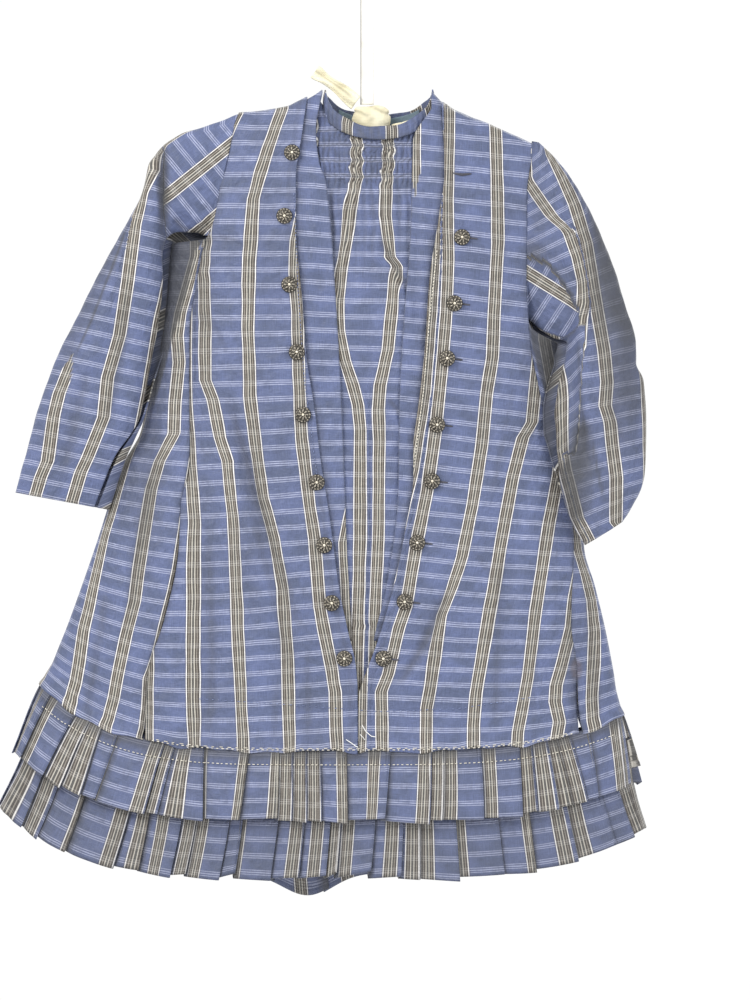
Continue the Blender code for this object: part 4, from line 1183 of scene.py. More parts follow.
def makeVest(material):
    # Puckers run down from each gathering line: depth * sine across, pinched flat at the lines.
    heights = np.linspace(-0.600, -0.190, 200)
    x, height = panelGrid(stripEdgeRight, stripEdgeLeft, topVest, heights, heights, 56, 34, (tuckIn, tuckIn))
    points = bodyPoint(x, height, inward=2 * layer)
    out, weave, shade = foldedPanel(vest, x, points)
    z = out[..., 2]
    toLine = np.min([np.abs(z - line + 0.0016 * waver(x, z, 0.02, 1.0)) for line in vest["gathers"]], axis=0)
    within = ease(z, -0.192, -0.178) * (1 - 0.3 * ease(z, -0.142, -0.134))
    beat = np.sin(2 * pi * x / vest["pucker"] + 2.2 * waver(x, z, 0.010, 4.0))
    puff = vest["deep"] * beat * within * ease(toLine, 0.0003, 0.0028)
    tail = 0.0007 * np.sin(2 * pi * x / 0.0068 + 1.5 * waver(x, z, 0.02, 2.0))
    tail = tail * ease(z, -0.30, -0.19) * (1 - within)
    dent = -0.0009 * hill(toLine, 0.0012) * within
    lift = puff + tail + dent
    out[..., 1] -= lift
    out[..., 1] += 0.0050 * ease(z, -0.150, -0.128)
    # Painted shade in the puckers' hollows, a little painted light on their tops, and painted shade along the
    # gathering lines.
    shade = shade * (1 + 300 * lift.clip(-0.0018, 0.0004)) * (1 - 0.50 * hill(toLine, 0.0008) * within)
    weave[..., 0] += within * 0.018 * np.sin(2 * pi * z / 0.0125 + 60 * x) + 0.5 * lift / 0.037
    piece = clothPiece("vestCloth", out, weave, shade.clip(0.2, 1.1), material, "vest")
    for name, node, spec, edgeIn, edgeOut, top, flip in (
        ("stripRight", "vest_strip_right", stripRight, stripEdgeRight, frontEdgeRight, topStripRight, True),
        ("stripLeft", "vest_strip_left", stripLeft, stripEdgeLeft, frontEdgeLeft, topStripLeft, False),
    ):
        heights = np.linspace(-0.548, -0.190, 170)
        x, height = panelGrid(edgeIn, edgeOut, top, heights, heights, 20, 36, (0.0, tuckIn))
        points = bodyPoint(x, height, inward=layer)
        out, weave, shade = foldedPanel(spec, x, points)
        edge = np.abs(x - x[:, :1])
        out[..., 1] -= 0.0004 * hill(edge, 0.002)
        # Painted shade under the front's edge that lies over the strip, and along the strip's inner edge.
        covered = np.abs(x - x[:, -1:])
        shade = shade * (1 - 0.35 * hill(covered - 0.0030, 0.0045))
        shade = shade * (1 - 0.25 * hill(edge, 0.0009))
        plain = (weave[..., 0] < -0.5) + (weave[..., 0] > 0.5) + (out[..., 2] > spec["plainAbove"]) * 1.0
        closing = 0.19 * ease(out[..., 2], spec["plainBelow"] - 0.004, spec["plainBelow"] + 0.034)
        plain = np.clip(plain + (np.abs(weave[..., 0]) > closing), 0, 1)
        piece = clothPiece(name, out, weave, shade.clip(0.2, 1.1), material, node, plain=plain, flip=flip)
    print("vest made")


# ---- Collar and neck lining, as rings round the neck.
neck = {
    "centre": 0.0096,
    "collar": millimetres(
        "half sideZ frontZ backZ frontY backY",
        45.2, -123, -147.5, -131.5, 20, 16.5,
        45.2, -114.5, -142, -128.5, 19.5, 16.5,
        43.6, -106, -137.2, -125.5, 18.5, 16,
    ),
    "lining": millimetres(
        "half sideZ frontZ backZ frontY backY",
        40, -138, 0, -154.5, 0, 13.5,
        40, -124, 0, -140.5, 0, 13.5,
        40, -112, 0, -128.5, 0, 13.5,
    ),
}


def neckRings(rows, share, angle):
    # Ellipses whose height runs from the sides to the front and the back: angle 0 is the front.
    cell = sampled(rows, share[:, None])
    ahead, facing = np.cos(angle) > 0, np.abs(np.cos(angle))
    endZ = np.where(ahead, cell["frontZ"], cell["backZ"])
    x = neck["centre"] + cell["half"] * np.sin(angle)
    y = np.where(ahead, -cell["frontY"], cell["backY"]) * facing**0.9
    z = cell["sideZ"] + (endZ - cell["sideZ"]) * facing**1.1
    return stacked(x, y, z)


def makeCollar(material):
    angle = roundTurn(200)
    share = np.linspace(0, 1, 12)
    rings = neckRings(neck["collar"], share, angle)
    rough = 0.0005 * np.sin(angle * 31 + 3 * np.sin(angle * 7)) + 0.0002 * np.sin(angle * 53)
    rings[..., 1] -= (rough * np.sign(np.cos(angle)))[None] * (1 - 0.5 * share[:, None])
    rings[..., 2] += 0.0006 * np.sin(angle * 9 + 1)[None] * share[:, None]
    round_ = np.append(angle, 2 * pi)
    fine = np.linspace(0, 2 * pi, 721)
    arc = np.interp(round_, fine, arcLength(neckRings(neck["collar"], share[5:6], fine))[0])
    u = (np.where(round_ > pi, arc - arc[-1], arc) - 0.0104) / stripePeriod
    weave = stacked(u, 0.30 + share[:, None] * 0.0062 / weftRepeat)
    # Painted shade: a little darker all over, darker along the collar's lower edge, and in a wavy run of
    # crumples round it.
    crumple = 0.5 + 0.5 * np.sin(angle * 31 + 3 * np.sin(angle * 7) + 3 * share[:, None])
    shade = (0.92 - 0.28 * hill(share[:, None], 0.18)) * (1 - 0.30 * crumple**2)
    piece = clothPiece("collarCloth", rings, weave, shade, material, "collar", closed=True)
    teal = plainCloth("liningCotton", (0.19, 0.27, 0.33), (0.13, 0.18, 0.23), 500.0, 0.85, 0.0002)
    angle = np.linspace(1.30 * pi, 0.70 * pi, 70)
    share = np.linspace(0, 1, 24)
    strip = neckRings(neck["lining"], share, angle)
    strip[..., 1] += 0.0005 * np.sin(angle * 17) * (1 - share[:, None])
    weave = stacked(angle, share[:, None])
    # Painted shade, darker towards the lining's upper edge.
    shade = 0.95 - 0.25 * share[:, None] + 0 * angle
    piece = clothPiece("neckLining", strip, weave, shade, teal, "neck_lining", slot="lining_cloth")
    print("collar made")


# ---- Sleeves: rows from the armhole to the cuff, each an oval turned round the arm.
sleeves = {
    "right": {
        "way": -1,
        "seed": 9.1,
        "routes": [
            route(
                -433, -265.6, -418, -260.8, -405, -255.2, -370, -250.4, -351, -246.4, -319, -233.6,
                -302, -224.8, -279, -214.4, -258, -209.6, -242, -203.2, -214, -194.4, -188, -185.6,
            ),
            route(
                -438, -236, -414, -228.8, -402, -223.2, -386, -216.8, -370, -210.4, -338, -207.2, -304, -197.6,
                -261, -191.2, -235, -188, -216, -185.6, -191, -179.2, -172, -171.2,
            ),
            route(
                -388, -183.2, -356, -176.8, -323, -171.2, -299, -167.2, -274, -161.6, -252, -157.6, -196, -148,
            ),
        ],
        "lean": table("z slope", (-0.46, 0.20), (-0.12, 0.24)),
        "folds": [
            -164, -150, -163, -175, -160, -222, 4, -4, -172, -155, -172, -190, -172, -235, 6.5, 2.6,
            -156, -206, -145, -222, -132, -224, 3.5, -2.2, -152, -196, -140, -208, -128, -212, 3.5, 1.6,
            -202, -250, -212, -300, -232, -350, 6, 2, -190, -260, -197, -320, -212, -390, 5, -1.8,
            -220, -320, -232, -370, -246, -425, 6, -1.6, -180, -280, -186, -340, -200, -400, 6.5, 1.8,
            -148, -146, -130, -168, -112, -190, 4.5, -1.1, -245, -352, -254, -390, -264, -430, 6, 1.4,
        ],
        "shadows": [-164, -196, 5, 36, 0.62, -206, -250, 20, 80, 0.12, -250, -370, 22, 60, 0.16],
        # painted light over the whole sleeve, for how the light falls on it
        "toneAndShade": 1.06,
        "paintedShadeLines": [
            -235, -323, -213, -274, -184, -192, 1.1, 0.6, -248, -330, -224, -276, -190, -192, 10, 0.4,
            -164, -148, -163, -180, -160, -226, 3.6, 0.62, -190, -256, -197, -320, -212, -390, 3.4, 0.3,
            -220, -316, -232, -370, -246, -428, 3.4, 0.24, -156, -206, -145, -222, -132, -224, 2.2, 0.4,
        ],
        "cut": ((0.200, 0.310, 0.046), (0.090, 0.240, 0.0155)),
    },
    "left": {
        "way": 1,
        "seed": 11.7,
        "routes": [
            route(
                -468, 176.8, -450, 167.2, -411, 157.6, -396, 155.2, -354, 154.4, -335, 152.8, -310, 150,
                -276, 143, -262, 130, -240, 112, -140, 100,
            ),
            route(
                -468, 176.9, -450, 167.3, -411, 157.7, -399, 155.7, -398.4, 161, -360, 164.5, -328, 164.8,
                -314, 170, -291, 171.2, -279, 173.6, -261, 172.8, -242, 168.8, -221, 161.6, -210, 148.8,
                -196, 139.2, -178, 127.2,
            ),
            route(
                -470, 212, -454, 198.4, -418, 198.4, -392, 195.2, -374, 193.6, -361, 189.6, -342, 191.2,
                -316, 188.8, -267, 180.8, -230, 175.2, -200, 166.4, -177, 156.8, -163, 150.4,
            ),
            route(-420, 226.2, -380, 225, -350, 223.6, -300, 225, -250, 230, -160, 230),
        ],
        "lean": table("z slope", (-0.48, -0.55), (-0.44, -0.42), (-0.40, -0.26), (-0.34, -0.20), (-0.28, -0.30),
                      (-0.24, -0.44), (-0.20, -0.64), (-0.16, -0.92)),
        "folds": [
            170, -270, 172, -320, 180, -398, 5, 3, 162, -330, 166, -370, 178, -420, 5, -3.4,
            130, -240, 152, -256, 170, -284, 3.6, 2.4, 129, -232, 152, -246, 170, -270, 3.2, -2,
            186, -230, 196, -290, 206, -340, 7, 1.8, 180, -260, 188, -310, 196, -370, 5, -1.6,
            200, -320, 206, -370, 208, -430, 6, 1.8, 192, -360, 194, -400, 196, -440, 4, -1.4,
            145, -190, 156, -220, 166, -250, 6, 1.2, 186, -400, 190, -430, 196, -455, 5, -1.4,
        ],
        "shadows": [
            170, -408, 12.5, 38, 0.72, 196, -240, 19, 80, 0.86, 206, -330, 16, 55, 0.66, 132, -238, 10, 12, 0.5,
            138, -205, 6, 30, 0.18,
        ],
        # painted shade over the whole sleeve, for how the light falls on it
        "toneAndShade": 0.90,
        "paintedShadeLines": [
            175, -370, 167, -396, 159, -430, 6, 0.75, 160, -400, 163, -430, 170, -460, 6.5, 0.75,
            166, -150, 197, -232, 214, -330, 13, 0.88, 179, -388, 183.5, -412, 189, -440, 1.3, 0.55,
            126, -239, 152, -255, 173.5, -292, 1.7, 0.85, 171.2, -300, 170, -350, 176, -392, 1.6, 0.45,
            195, -350, 200, -380, 212, -392, 3, 0.25,
        ],
        "cut": ((0.185, 0.310, 0.043), (0.090, 0.180, 0.0125)),
    },
}


def sleevePattern(side, x, z):
    # Pattern coordinates on the flat of a sleeve, whose grain turns at a fold near the armhole.
    spec = sleeves[side]
    u = stripeField(x, z, spec["routes"], 1.06)
    lean = np.interp(z, spec["lean"]["z"], spec["lean"]["slope"])
    v = (z + lean * (x - spec["way"] * 0.16)) / weftRepeat
    if side == "right":
        inCap = (x > -0.1625 - 0.04 * (z + 0.19)) & (z > -0.226)
        capU = (0.63 * (x + 0.135) - 0.77 * (z + 0.172)) / stripePeriod
        capV = (-0.77 * (x + 0.135) - 0.63 * (z + 0.172)) / weftRepeat
    else:
        foldLine = np.interp(x, (0.128, 0.145, 0.158, 0.1705), (-0.240, -0.2464, -0.264, -0.2856))
        lowest = np.interp(x, (0.128, 0.158, 0.1705), (-0.296, -0.306, -0.298))
        inCap = (z < foldLine) & (x < 0.1705) & (z > lowest)
        inFlap = (z <= lowest) & (x < 0.1690 + 0.10 * (z + 0.36)) & (z > -0.3985)
        u = np.where(inFlap, stripeField(x, z, spec["routes"][:1], 1.06), u)
        v = np.where(inFlap, (z - 0.80 * (x - 0.16)) / weftRepeat, v)
        capU = (-0.54 * (x - 0.1496) - 0.84 * (z + 0.2672)) / stripePeriod
        capV = (0.84 * (x - 0.1496) - 0.54 * (z + 0.2672)) / weftRepeat
    return np.where(inCap, capU, u), np.where(inCap, capV, v)


def makeSleeves(material):
    # Each row: across = (1 - cos turn) / 2 from its inner to its outer end, and depth * |sin turn|^0.9
    # in front of or behind its middle. The armhole row takes the body's own edge.
    turn, gap = 1.45 * pi, 0.05
    for side, spec in sleeves.items():
        way = spec["way"]
        armhole = sideSeamRight if side == "right" else sideSeamLeft
        fine = np.linspace(0, 1, 170)
        cell = sampled(sleeveRows[side], fine[:, None])
        seam = np.arccos(1 - 2 * cell["seam"].clip(0, 1))
        for piece, node, start, stop, columns, cut in (
            ("upperSleeve", "upper_sleeve", seam + gap, turn, 84, spec["cut"][0]),
            ("underSleeve", "under_sleeve", turn - 0.10, 2 * pi + seam - gap, 42, spec["cut"][1]),
        ):
            angle = mix(start, stop, np.linspace(0, 1, columns))
            across = (1 - np.cos(angle)) / 2
            x = mix(cell["innerX"], cell["outerX"], across) - way * cell["bow"] * np.sin(pi * across)
            z = mix(cell["innerZ"], cell["outerZ"], across)
            depth = np.where(np.sin(angle) > 0, cell["front"], cell["back"])
            depth = depth * (0.90 if piece == "underSleeve" else 1.0)
            y = cell["middle"] - depth * np.sign(np.sin(angle)) * np.abs(np.sin(angle)) ** 0.9
            x[0] = smooth(z[0], armhole["height"], armhole["x"]) - way * 0.0015
            front = bodyPoint(x[0], z[0])[:, 1]
            behind = bodyPoint(x[0], z[0], back=True)[:, 1]
            y[0] = np.where(np.sin(angle[0]) > 0, front + 0.0006, behind - 0.0006)
            tucked = np.zeros_like(x)
            if piece == "underSleeve":
                # The hidden inner edge reaches behind the body, so that no light shows beside it; it takes
                # painted deep shade for the shadow there.
                inner = ease(angle, 1.65 * pi, 2 * pi)
                tucked = inner * (ease(fine, 0.0, 0.035) * (1 - ease(fine, 0.62, 0.85)))[:, None]
                x = x - way * 0.0095 * tucked
                z = z - 0.0085 * tucked * (1 - ease(fine, 0.25, 0.55))[:, None]
                y = y + 0.0040 * tucked
            points = stacked(x, y, z)
            normal = normalsOf(points)
            outwards = points - points.mean(axis=1, keepdims=True)
            if (normal[20:] * outwards[20:]).sum(axis=-1).mean() < 0 and piece == "upperSleeve":
                normal = -normal
            ahead = (np.sin(angle) > 0) & (angle < pi)
            relief = foldRelief(x, z, spec["folds"]) * ahead * ease(np.sin(angle), 0.0, 0.35)
            behindWave = np.sin(z / 0.017 + 4 * across + spec["seed"]) * np.sin(pi * across)
            relief = relief + 0.0012 * (np.sin(angle) < 0) * behindWave
            relief = relief + 0.0004 * waver(x, z, 0.014, spec["seed"])
            relief = relief * ease(fine, 0.0, 0.03)[:, None]
            if piece == "underSleeve":
                normal = normal * np.sign(normal[..., 1].mean())
            out = points + normal * relief[..., None]
            if piece == "upperSleeve":
                arc = arcLength(points)
                u, v = sleevePattern(side, x, z)
                u = carriedOn(u, arc, angle, 0.86 * pi, way / stripePeriod)
                v = carriedOn(v, arc, angle, 0.86 * pi, 0)
                # Painted shade and light: the sleeve's shadows, dark lines and tone for how the light falls on
                # it, and an even painted shade on its back half.
                shade = shadeOf(x, z, spec) * spec["toneAndShade"]
                shade = np.where(ahead, shade, 0.95)
            else:
                flatX = cell["innerX"] - way * 0.6 * (across * (cell["outerX"] - cell["innerX"]) * way)
                u = (flatX + 0.45 * z) / stripePeriod
                v = (z - 0.42 * x) / weftRepeat
                # Painted shade: the under-sleeve darker all over, and deep painted shade where its edge is
                # tucked behind the body.
                shade = mix(0.80, 0.20, ease(tucked, 0.15, 0.8))
            # Painted shade in the fold troughs, painted light on the ridges, and painted shade at the cuff.
            cuff = ease(fine, 0.985, 1.0)[:, None]
            shade = shade * (1 + 50 * relief.clip(-0.005, 0.0015)) * (1 - 0.15 * cuff)
            # The right sleeve's outer stripe runs into a fold line, above which none shows.
            closing = 0.19 * (1 - ease(z, -0.345, -0.316) * (side == "right"))
            outerStripe = (u < 0.4) & (z > -0.345) & (x < -0.172) & (side == "right")
            made = clothPiece(
                piece + side.title(), out, stacked(u, v), shade.clip(0.15, 1.1), material, f"{node}_{side}",
                flip=way > 0, plain=(np.abs(u + 0.04) > closing) & outerStripe,
            )
    print("sleeves made")


# ---- The two pleated flounces. For each pleat: its left edge at the top and at the bottom of the
# flounce, how far its warp stripe lies from that edge (past the width, none shows), how far its
# crest stands off, and how far its hem hangs below the others.
flounces = {
    "upper": {
        "line": -0.638,
        "rows": table(
            "fall off lift backDrop",
            (-0.004, 0.0009, 0.25, 0.000), (0.004, 0.0026, 0.40, 0.000),
            (0.026, 0.0062, 0.80, 0.002), (0.0515, 0.0100, 1.00, 0.004),
        ),
        "pleats": millimetres(
            "top bottom stripe lift drop",
            -258.4, -274.4, 2, 3.2, 0, -236.8, -256, 6, 3.4, 0.8, -226, -242, 5.5, 2.6, 0.2,
            -215.2, -225.6, 60, 2, -0.6, -201.6, -213.6, 32, 3.6, 0.6, -164, -176, 2, 2.2, 0,
            -155, -166, 8, 3.4, 0.9, -132, -129.6, 34.5, 3.6, 0, -95.2, -100, 60, 2.6, -0.8,
            -70.4, -70.4, 5.5, 3, 0.2, -59.2, -59.2, 5.5, 2.6, 0.8, -48, -48, 5.5, 2.8, 0.4,
            -36.8, -36.8, 17.5, 3.4, 1.2, -16, -16.8, 60, 3.8, -0.6, 20, 13.6, 28, 3.6, 1.6,
            53.6, 51.2, 4.5, 2.4, 0.3, 63.2, 62, 5.8, 3.4, 0.6, 93.6, 95.2, 6.6, 3.4, 0.9,
            125.6, 125.6, 4.5, 2.4, -0.5, 136, 138.4, 6, 3.2, 0.4, 148.8, 156, 5, 2.4, -0.2,
            156, 168, 5, 3, 0.3, 167.2, 180.8, 60, 3.2, 0, 183.2, 189.6, 19, 3.2, 0.5,
        ),
        "end": (0.2080, 0.2120),
        "behind": 18,
        "leftReach": 0.2,
        # painted shade over the whole flounce, for how the light falls on it
        "toneAndShade": 0.84,
        "seed": 0.6,
        "cut": (1.55, 0.058),
    },
    "lower": {
        "line": -0.668,
        "rows": table(
            "fall off lift backDrop",
            (0.000, 0.0019, 0.10, 0.000), (0.016, 0.0022, 0.35, 0.001),
            (0.030, 0.0034, 0.75, 0.004), (0.0675, 0.0090, 1.00, 0.014),
        ),
        "pleats": millimetres(
            "top bottom stripe lift drop",
            -272.8, -292, 8, 3.4, 0, -256.8, -269.6, 5.5, 2.4, 1, -244, -257.6, 60, 3.4, 0.2,
            -223.2, -234.4, 31, 3.6, 0.8, -187.2, -197.6, 10.5, 2.8, -0.4,
            -173.6, -177.6, 12, 3.6, 0.9, -147.2, -152, 6.5, 2.4, -0.9,
            -136, -140, 5.8, 3.4, 0.8, -108.8, -113.6, 60, 1.6, -1.8,
            -99.2, -101.6, -1.5, 3.8, 0.7, -69.6, -75.2, 15, 3.4, -0.6,
            -48.8, -53.6, 11, 3, -1.2, -28, -32.8, 3, 2, -2.4, -20, -24, 6.5, 3.2, -2.8,
            8, 3.2, 13.5, 3.4, -0.8, 29.6, 27.2, 7.5, 2.2, 0.6, 42.4, 42.4, 5.5, 3.6, 1.6,
            70.4, 72, 2.6, 3.6, 0.2, 104, 105.6, 23.5, 3.4, 1.2, 129.6, 131.2, 20.5, 3.2, 0.8,
            158.4, 164.8, 6, 3.2, -0.3, 187.2, 194.4, 60, 3, 0.4, 200.8, 208.8, 5.5, 2.4, -0.4,
            208.8, 216, 5.5, 3, 0.3,
        ),
        "end": (0.2184, 0.2248),
        "behind": 18,
        "leftReach": 1.0,
        "toneAndShade": 0.68,
        # painted shade over the whole flounce, for how the light falls on it
        "seed": 1.9,
        "cut": (1.60, 0.070),
    },
}


def pleatSection(count):
    # One pleat in (share of its width, share of its lift): from under the pleat before it, over its
    # flat face to the crest, then folded back under.
    t = np.linspace(0, 1, count)
    face = stacked(t, 0.16 + 0.84 * t**0.75)
    back = np.array([(1.012, 0.88), (0.985, 0.66), (0.93, 0.52)])
    return np.vstack([[(-0.07, 0.06), (-0.035, 0.10)], face, back])


def makeFlounce(name, spec, material, node):
    # Columns run round the ring as a turn of the outline, in pleats; a column's turn at the top and
    # at the bottom of the flounce differ, and its lift stands it off the ring.
    pleats = spec["pleats"]
    section = pleatSection(15)
    topEdges = np.append(pleats["top"], spec["end"][0])
    lowEdges = np.append(pleats["bottom"], spec["end"][1])

    def turnOf(x, level):
        right, left = bodyValue("right", level), bodyValue("left", level)
        reach = (left - right) / 2 + 0.008
        return np.arcsin(((x - (left + right) / 2) / reach).clip(-1, 1)) / (2 * pi)

    topTurn = turnOf(topEdges, np.full(len(topEdges), spec["line"]))
    lowTurn = turnOf(lowEdges, np.full(len(lowEdges), spec["line"] - 0.06))
    behindTop = np.linspace(topTurn[-1], 1 + topTurn[0], spec["behind"] + 1)
    behindLow = np.linspace(lowTurn[-1], 1 + lowTurn[0], spec["behind"] + 1)
    number = np.arange(spec["behind"])
    topTurn = np.append(topTurn[:-1], behindTop)
    lowTurn = np.append(lowTurn[:-1], behindLow)
    stripe = np.append(pleats["stripe"], 0.008 + 0.017 * (number * 0.618 % 1))
    lift = np.append(pleats["lift"], 0.0030 + 0.0005 * np.sin(number * 2.1))
    drop = np.append(pleats["drop"], 0.0007 * np.sin(number * 1.7))
    share = section[:, 0]

    def spread(edges):
        return (edges[:-1, None] + np.diff(edges)[:, None] * share).ravel()

    columnTop, columnLow = spread(topTurn), spread(lowTurn)
    rise = (lift[:, None] * section[:, 1]).ravel()
    rows = spec["rows"]
    fall = np.concatenate([np.linspace(rows["fall"][0], 0.004, 5), np.linspace(0.006, rows["fall"][-1], 24)])
    tall = (fall - fall[0]) / (fall[-1] - fall[0])
    off, liftShare, backDrop = (
        smooth(fall, rows["fall"], rows[key])[:, None] for key in ("off", "lift", "backDrop")
    )
    turn = mix(columnTop, columnLow, tall[:, None])
    level = spec["line"] - fall[:, None] + 0 * turn
    right, left = bodyValue("right", level), bodyValue("left", level)
    out = np.sin(2 * pi * turn)
    facing = np.cos(2 * pi * turn)
    x = (left + right) / 2 + (left - right) / 2 * out
    points = np.where((facing > 0)[..., None], bodyPoint(x, level), bodyPoint(x, level, back=True))
    uneasy = 0.0006 * waver(turn * 3.2, tall[:, None] * 0.05, 0.05, spec["seed"])
    stand = off + liftShare * (rise + uneasy)
    sway = 0.0011 * np.sin(turn * 61 + spec["seed"]) * tall[:, None] ** 2
    reach = np.where((out > 0) & (facing > 0), spec["leftReach"], 1.0)
    points[..., 0] += (stand * reach + 0.0010) * out + sway * np.abs(facing)
    points[..., 1] -= stand * np.sign(facing) * np.abs(facing) ** 0.5
    sag = 0.35 + 1.30 * hill(x + 0.049, 0.027)
    points[..., 2] -= np.where(facing < 0, backDrop * (1 - out**4) * sag, 0.0)
    uneven = (drop[:, None] * (0.3 + 1.9 * share)).ravel()
    points[..., 2] -= uneven * tall[:, None] ** 2
    width = (left - right)[0, 0] * pi * np.diff(topTurn)
    width[: len(pleats["top"])] = np.diff(topEdges)
    u = ((share * width[:, None] - stripe[:, None]) / stripePeriod).ravel()
    u = np.append(u, u[0])[None] + 0 * fall[:, None]
    offsetV = (0.111 * np.sin(np.arange(len(lift)) * 1.3))[:, None] + 0 * share
    v = (-fall[:, None] / weftRepeat) + np.append(offsetV.ravel(), offsetV.ravel()[0])
    # Painted shade: dark under the crest of the pleat before, a little darker at each crest's fold, dark at the
    # top under the skirt's turned edge, darker along the hem, and the flounce's tone for how the light falls on
    # it.
    underPrevious = ease(share, -0.02, 0.17)
    deep = mix(0.22, 1.0, underPrevious) * (1 - 0.10 * ease(share, 0.9, 1.0))
    shade = np.tile(deep, len(lift))[None] * mix(0.35, 1.0, ease(fall, 0.000, 0.0085))[:, None]
    low = spec["toneAndShade"] * (1 - 0.25 * ease(tall, 0.975, 1.0))
    shade = shade * low[:, None]
    piece = clothPiece(
        name, points[::-1], stacked(u, v)[::-1], shade[::-1].clip(0.15, 1.1), material, node,
        closed=True,
    )
    surfaces[name] = points
    print(name, "made")


# ---- Openwork buttons: a dark dished back, a rim of beads, eight bars and a pale centre bead.
buttonSizes = {
    "radius": 0.0065,
    "height": 0.0046,
    "off": 0.0010,
    "beads": 14,
    "bars": 8,
    "right": millimetres(
        "x z",
        -60, -158, -66, -209, -62, -264, -56, -318, -51, -368, -40, -422, -34, -472, -28, -518, -18, -562,
    ),
    "left": millimetres("x z", 76, -226, 70, -279, 64, -323, 56, -376, 52, -421, 40, -470, 30, -517, 13, -562),
}


def buttonShape():
    s = buttonSizes
    radius, tall = s["radius"], s["height"]
    turn = roundTurn(24)
    profile = np.array([(0.92, 0.00), (1.00, 0.06), (1.00, 0.22), (0.90, 0.34), (0.60, 0.52), (0.25, 0.62)])
    out, high = profile[:, :1], profile[:, 1:]
    ring = stacked(out * np.cos(turn), -high, out * np.sin(turn)).reshape(-1, 3) * (radius, tall, radius)
    faces = gridFaces(len(profile), 24, True)[:, ::-1].tolist()
    shapes = [(ring, faces + capFaces(len(profile), 24), 0)]
    for i in range(s["beads"]):
        way = 2 * pi * i / s["beads"]
        centre = (0.83 * radius * np.cos(way), -0.40 * tall, 0.83 * radius * np.sin(way))
        shapes.append((*beadShape(centre, 0.0009, 4, 6), 1))
    for i in range(s["bars"]):
        way = 2 * pi * (i + 0.5) / s["bars"]
        t = np.linspace(0, 1, 6)
        reach = mix(0.70, 0.28, t) * radius
        arch = -(0.50 + 0.32 * np.sin(t * pi * 0.62)) * tall
        path = stacked(reach * np.cos(way + 0.22 * t), arch, reach * np.sin(way + 0.22 * t))
        shapes.append((*tubeShape(path, [0.0004, 0.00062, 0.0007, 0.0006, 0.0005, 0.0004], 5), 1))
    for i in range(6):
        way = 2 * pi * i / 6
        centre = (0.30 * radius * np.cos(way), -0.83 * tall, 0.30 * radius * np.sin(way))
        shapes.append((*beadShape(centre, 0.00062, 4, 6), 1))
    shapes.append((*beadShape((0, -0.86 * tall, 0), np.array([0.0012, 0.0008, 0.0012]), 5, 10), 2))
    return joined(shapes)


def makeButtons():
    dark = metal("cutSteel", (0.035, 0.032, 0.028), (0.10, 0.09, 0.075), 0.55, 0.38)
    bright = metal("wornSteel", (0.20, 0.18, 0.15), (0.50, 0.46, 0.38), 0.70, 0.30)
    centre = metal("centreBead", (0.62, 0.55, 0.42), (0.80, 0.76, 0.66), 0.30, 0.34)
    points, faces, kinds = buttonShape()
    for side in ("right", "left"):
        places = buttonSizes[side]
        for number, (x, z) in enumerate(zip(places["x"], places["z"]), 1):
            spin = number * 0.37 + (side == "left")
            turned = points.copy()
            turned[:, 0] = points[:, 0] * np.cos(spin) - points[:, 2] * np.sin(spin)
            turned[:, 2] = points[:, 0] * np.sin(spin) + points[:, 2] * np.cos(spin)
            base = bodyPoint(np.array(x), np.array(z))[1] - buttonSizes["off"]
            placed = turned + (x, base, z)
            piece = meshPiece(f"button{side.title()}{number}", placed, faces, [dark, bright, centre], kinds)
            riding(piece, "button_metal", f"button_{side}_{number}")
    print("buttons made")


# ---- Stitches, buttonholes and loose threads, laid on the finished cloth.
def onCloth(names, x, z, off=0.0004):
    # The nearest front-facing points of the named panels, a little off the cloth.
    cloud = np.concatenate([surfaces[name].reshape(-1, 3) for name in names])
    cloud = cloud[cloud[:, 1] < 0.004]
    away = (cloud[None, :, 0] - np.asarray(x)[:, None]) ** 2 + (cloud[None, :, 2] - np.asarray(z)[:, None]) ** 2
    found = cloud[np.argmin(away, axis=1)]
    smoothed = np.convolve(np.pad(found[:, 1], 2, mode="edge"), np.full(5, 0.2), mode="valid")
    return stacked(x, np.minimum(smoothed, found[:, 1]) - off, z)


def lineOn(names, rows, count, off=0.0004):
    rows = np.asarray(rows, float)
    length = arcLength(rows[None])[0]
    at = np.linspace(0, length[-1], count)
    return onCloth(names, np.interp(at, length, rows[:, 0]), np.interp(at, length, rows[:, 1]), off)


stitching = {
    "leftFrontEdge": [(0.0560, -0.236), (0.0500, -0.290), (0.0450, -0.350), (0.0370, -0.412)],
    "rightFrontEdge": [(-0.0585, -0.190), (-0.0550, -0.270), (-0.0500, -0.340), (-0.0395, -0.420)],
    "runningRow": [(-0.135, -0.594), (-0.070, -0.598), (0.010, -0.604), (0.070, -0.602), (0.140, -0.592)],
    "emptyHole": [(0.0690, -0.1745), (0.0760, -0.1758), (0.0835, -0.1750)],
    "looseArc": [(-0.0040, -0.6145), (-0.0010, -0.6195), (0.0035, -0.6235), (0.0072, -0.6240)],
    "looseTail": [(-0.0055, -0.6220), (-0.0030, -0.6245), (-0.0015, -0.6265)],
    "looseLoop": [(-0.0165, -0.6262), (-0.0120, -0.6290), (-0.0085, -0.6315), (-0.0070, -0.6320)],
}


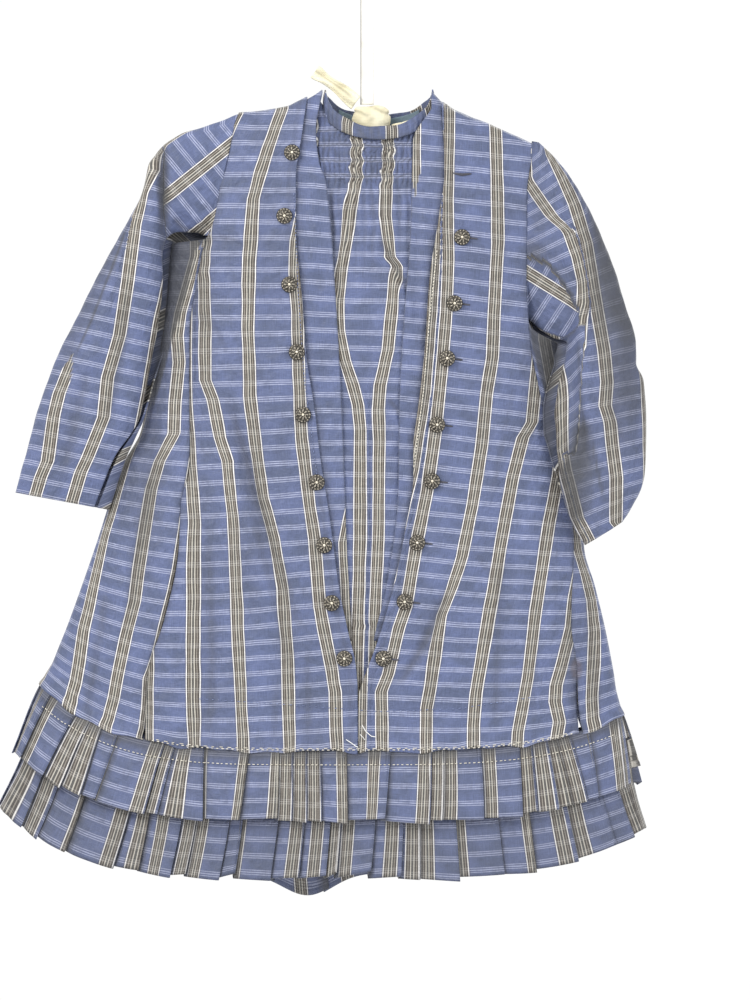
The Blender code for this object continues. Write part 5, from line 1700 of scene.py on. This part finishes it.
def makeStitches():
    s = stitching
    thread = plainCloth("creamThread", (0.74, 0.70, 0.60), (0.50, 0.46, 0.38), 900.0, 0.8, 0.0001)
    darkThread = plainCloth("darkThread", (0.035, 0.035, 0.045), (0.09, 0.09, 0.12), 900.0, 0.8, 0.0001)
    blueThread = plainCloth("blueThread", (0.22, 0.27, 0.46), (0.10, 0.12, 0.24), 900.0, 0.8, 0.0001)
    fronts = ["frontRight", "frontLeft"]
    out = np.array([0.0, -1.0, 0.0])
    rows = [
        (lineOn(fronts, s["leftFrontEdge"], 120), 0.0027, 0.00075, 0.55, 0),
        (lineOn(fronts, s["rightFrontEdge"], 160), 0.0030, 0.0005, 0.5, 2),
        (lineOn(fronts, s["runningRow"], 220), 0.0052, 0.00045, 0.35, 2),
    ]
    shapes = []
    for path, pitch, size, share, kind in rows:
        shapes.append((*dashShapes(path, out, pitch, size, share), kind))
    hemLine = np.linspace(-0.172, 0.166, 260)
    for up, pitch, size, shift in ((0.0009, 0.0040, 0.00065, 0.0), (0.0021, 0.0064, 0.0005, 0.4)):
        ring = bodyPoint(hemLine, np.full(260, ledge + up))
        ring[:, 1] -= skirtLedge(ledge + up) + 0.0006
        shapes.append((*dashShapes(ring, out, pitch, size, 0.42, shift), 0))
    grid = surfaces["flounceUpper"]
    row = int(np.argmin(np.abs(grid[:, 40, 2] - grid[0, 40, 2] + 0.0106)))
    edge = grid[row]
    edge = edge[edge[:, 1] < -0.012]
    order = np.argsort(edge[:, 0])
    xs = np.linspace(edge[:, 0].min() + 0.004, edge[:, 0].max() - 0.004, 420)
    ys = np.interp(xs, edge[order, 0], edge[order, 1])
    ys = np.minimum.reduce([np.roll(ys, shift) for shift in (-3, -2, -1, 0, 1, 2, 3)])
    zs = np.interp(xs, edge[order, 0], edge[order, 2])
    shapes.append((*dashShapes(stacked(xs, ys - 0.0005, zs), out, 0.0036, 0.00055, 0.5), 0))
    for x, z in zip(buttonSizes["left"]["x"], buttonSizes["left"]["z"]):
        hole = lineOn(fronts, [(x + 0.0050, z - 0.0004), (x + 0.0125, z - 0.0012)], 8, 0.0002)
        shapes.append((*tubeShape(hole, [0.0003, 0.0007, *[0.0008] * 4, 0.0007, 0.0003], 6), 1))
    hole = lineOn(fronts, s["emptyHole"], 14, 0.0003)
    shapes.append((*tubeShape(hole, 0.0011 * np.sin(np.linspace(0.25, 2.9, 14)) ** 0.6, 8), 1))
    for name, radius in (("looseArc", 0.00035), ("looseTail", 0.0003), ("looseLoop", 0.00035)):
        path = lineOn(fronts, s[name], 22, 0.0012)
        path[:, 1] -= 0.0010 * np.sin(np.linspace(0, pi, 22))
        shapes.append((*tubeShape(path, radius, 6), 3))
    white = plainCloth("whiteThread", (0.86, 0.86, 0.84), (0.70, 0.70, 0.68), 900.0, 0.7, 0.0001)
    points, faces, kinds = joined(shapes)
    piece = meshPiece("stitches", points, faces, [thread, darkThread, blueThread, white], kinds)
    calmEnds(piece.data)
    riding(piece, "checked_cloth")
    print("stitches made")


def main():
    setScene()
    makeTape()
    makeHanger()
    cloth = checkCloth("checkedCloth", 0.0)
    makeFronts(cloth)
    makeSides(cloth)
    makeBack(cloth)
    makeVest(cloth)
    makeCollar(cloth)
    makeSleeves(cloth)
    makeFlounce("flounceUpper", flounces["upper"], cloth, "flounce_upper")
    makeFlounce("flounceLower", flounces["lower"], cloth, "flounce_lower")
    makeButtons()
    makeStitches()


main()
print("all made")
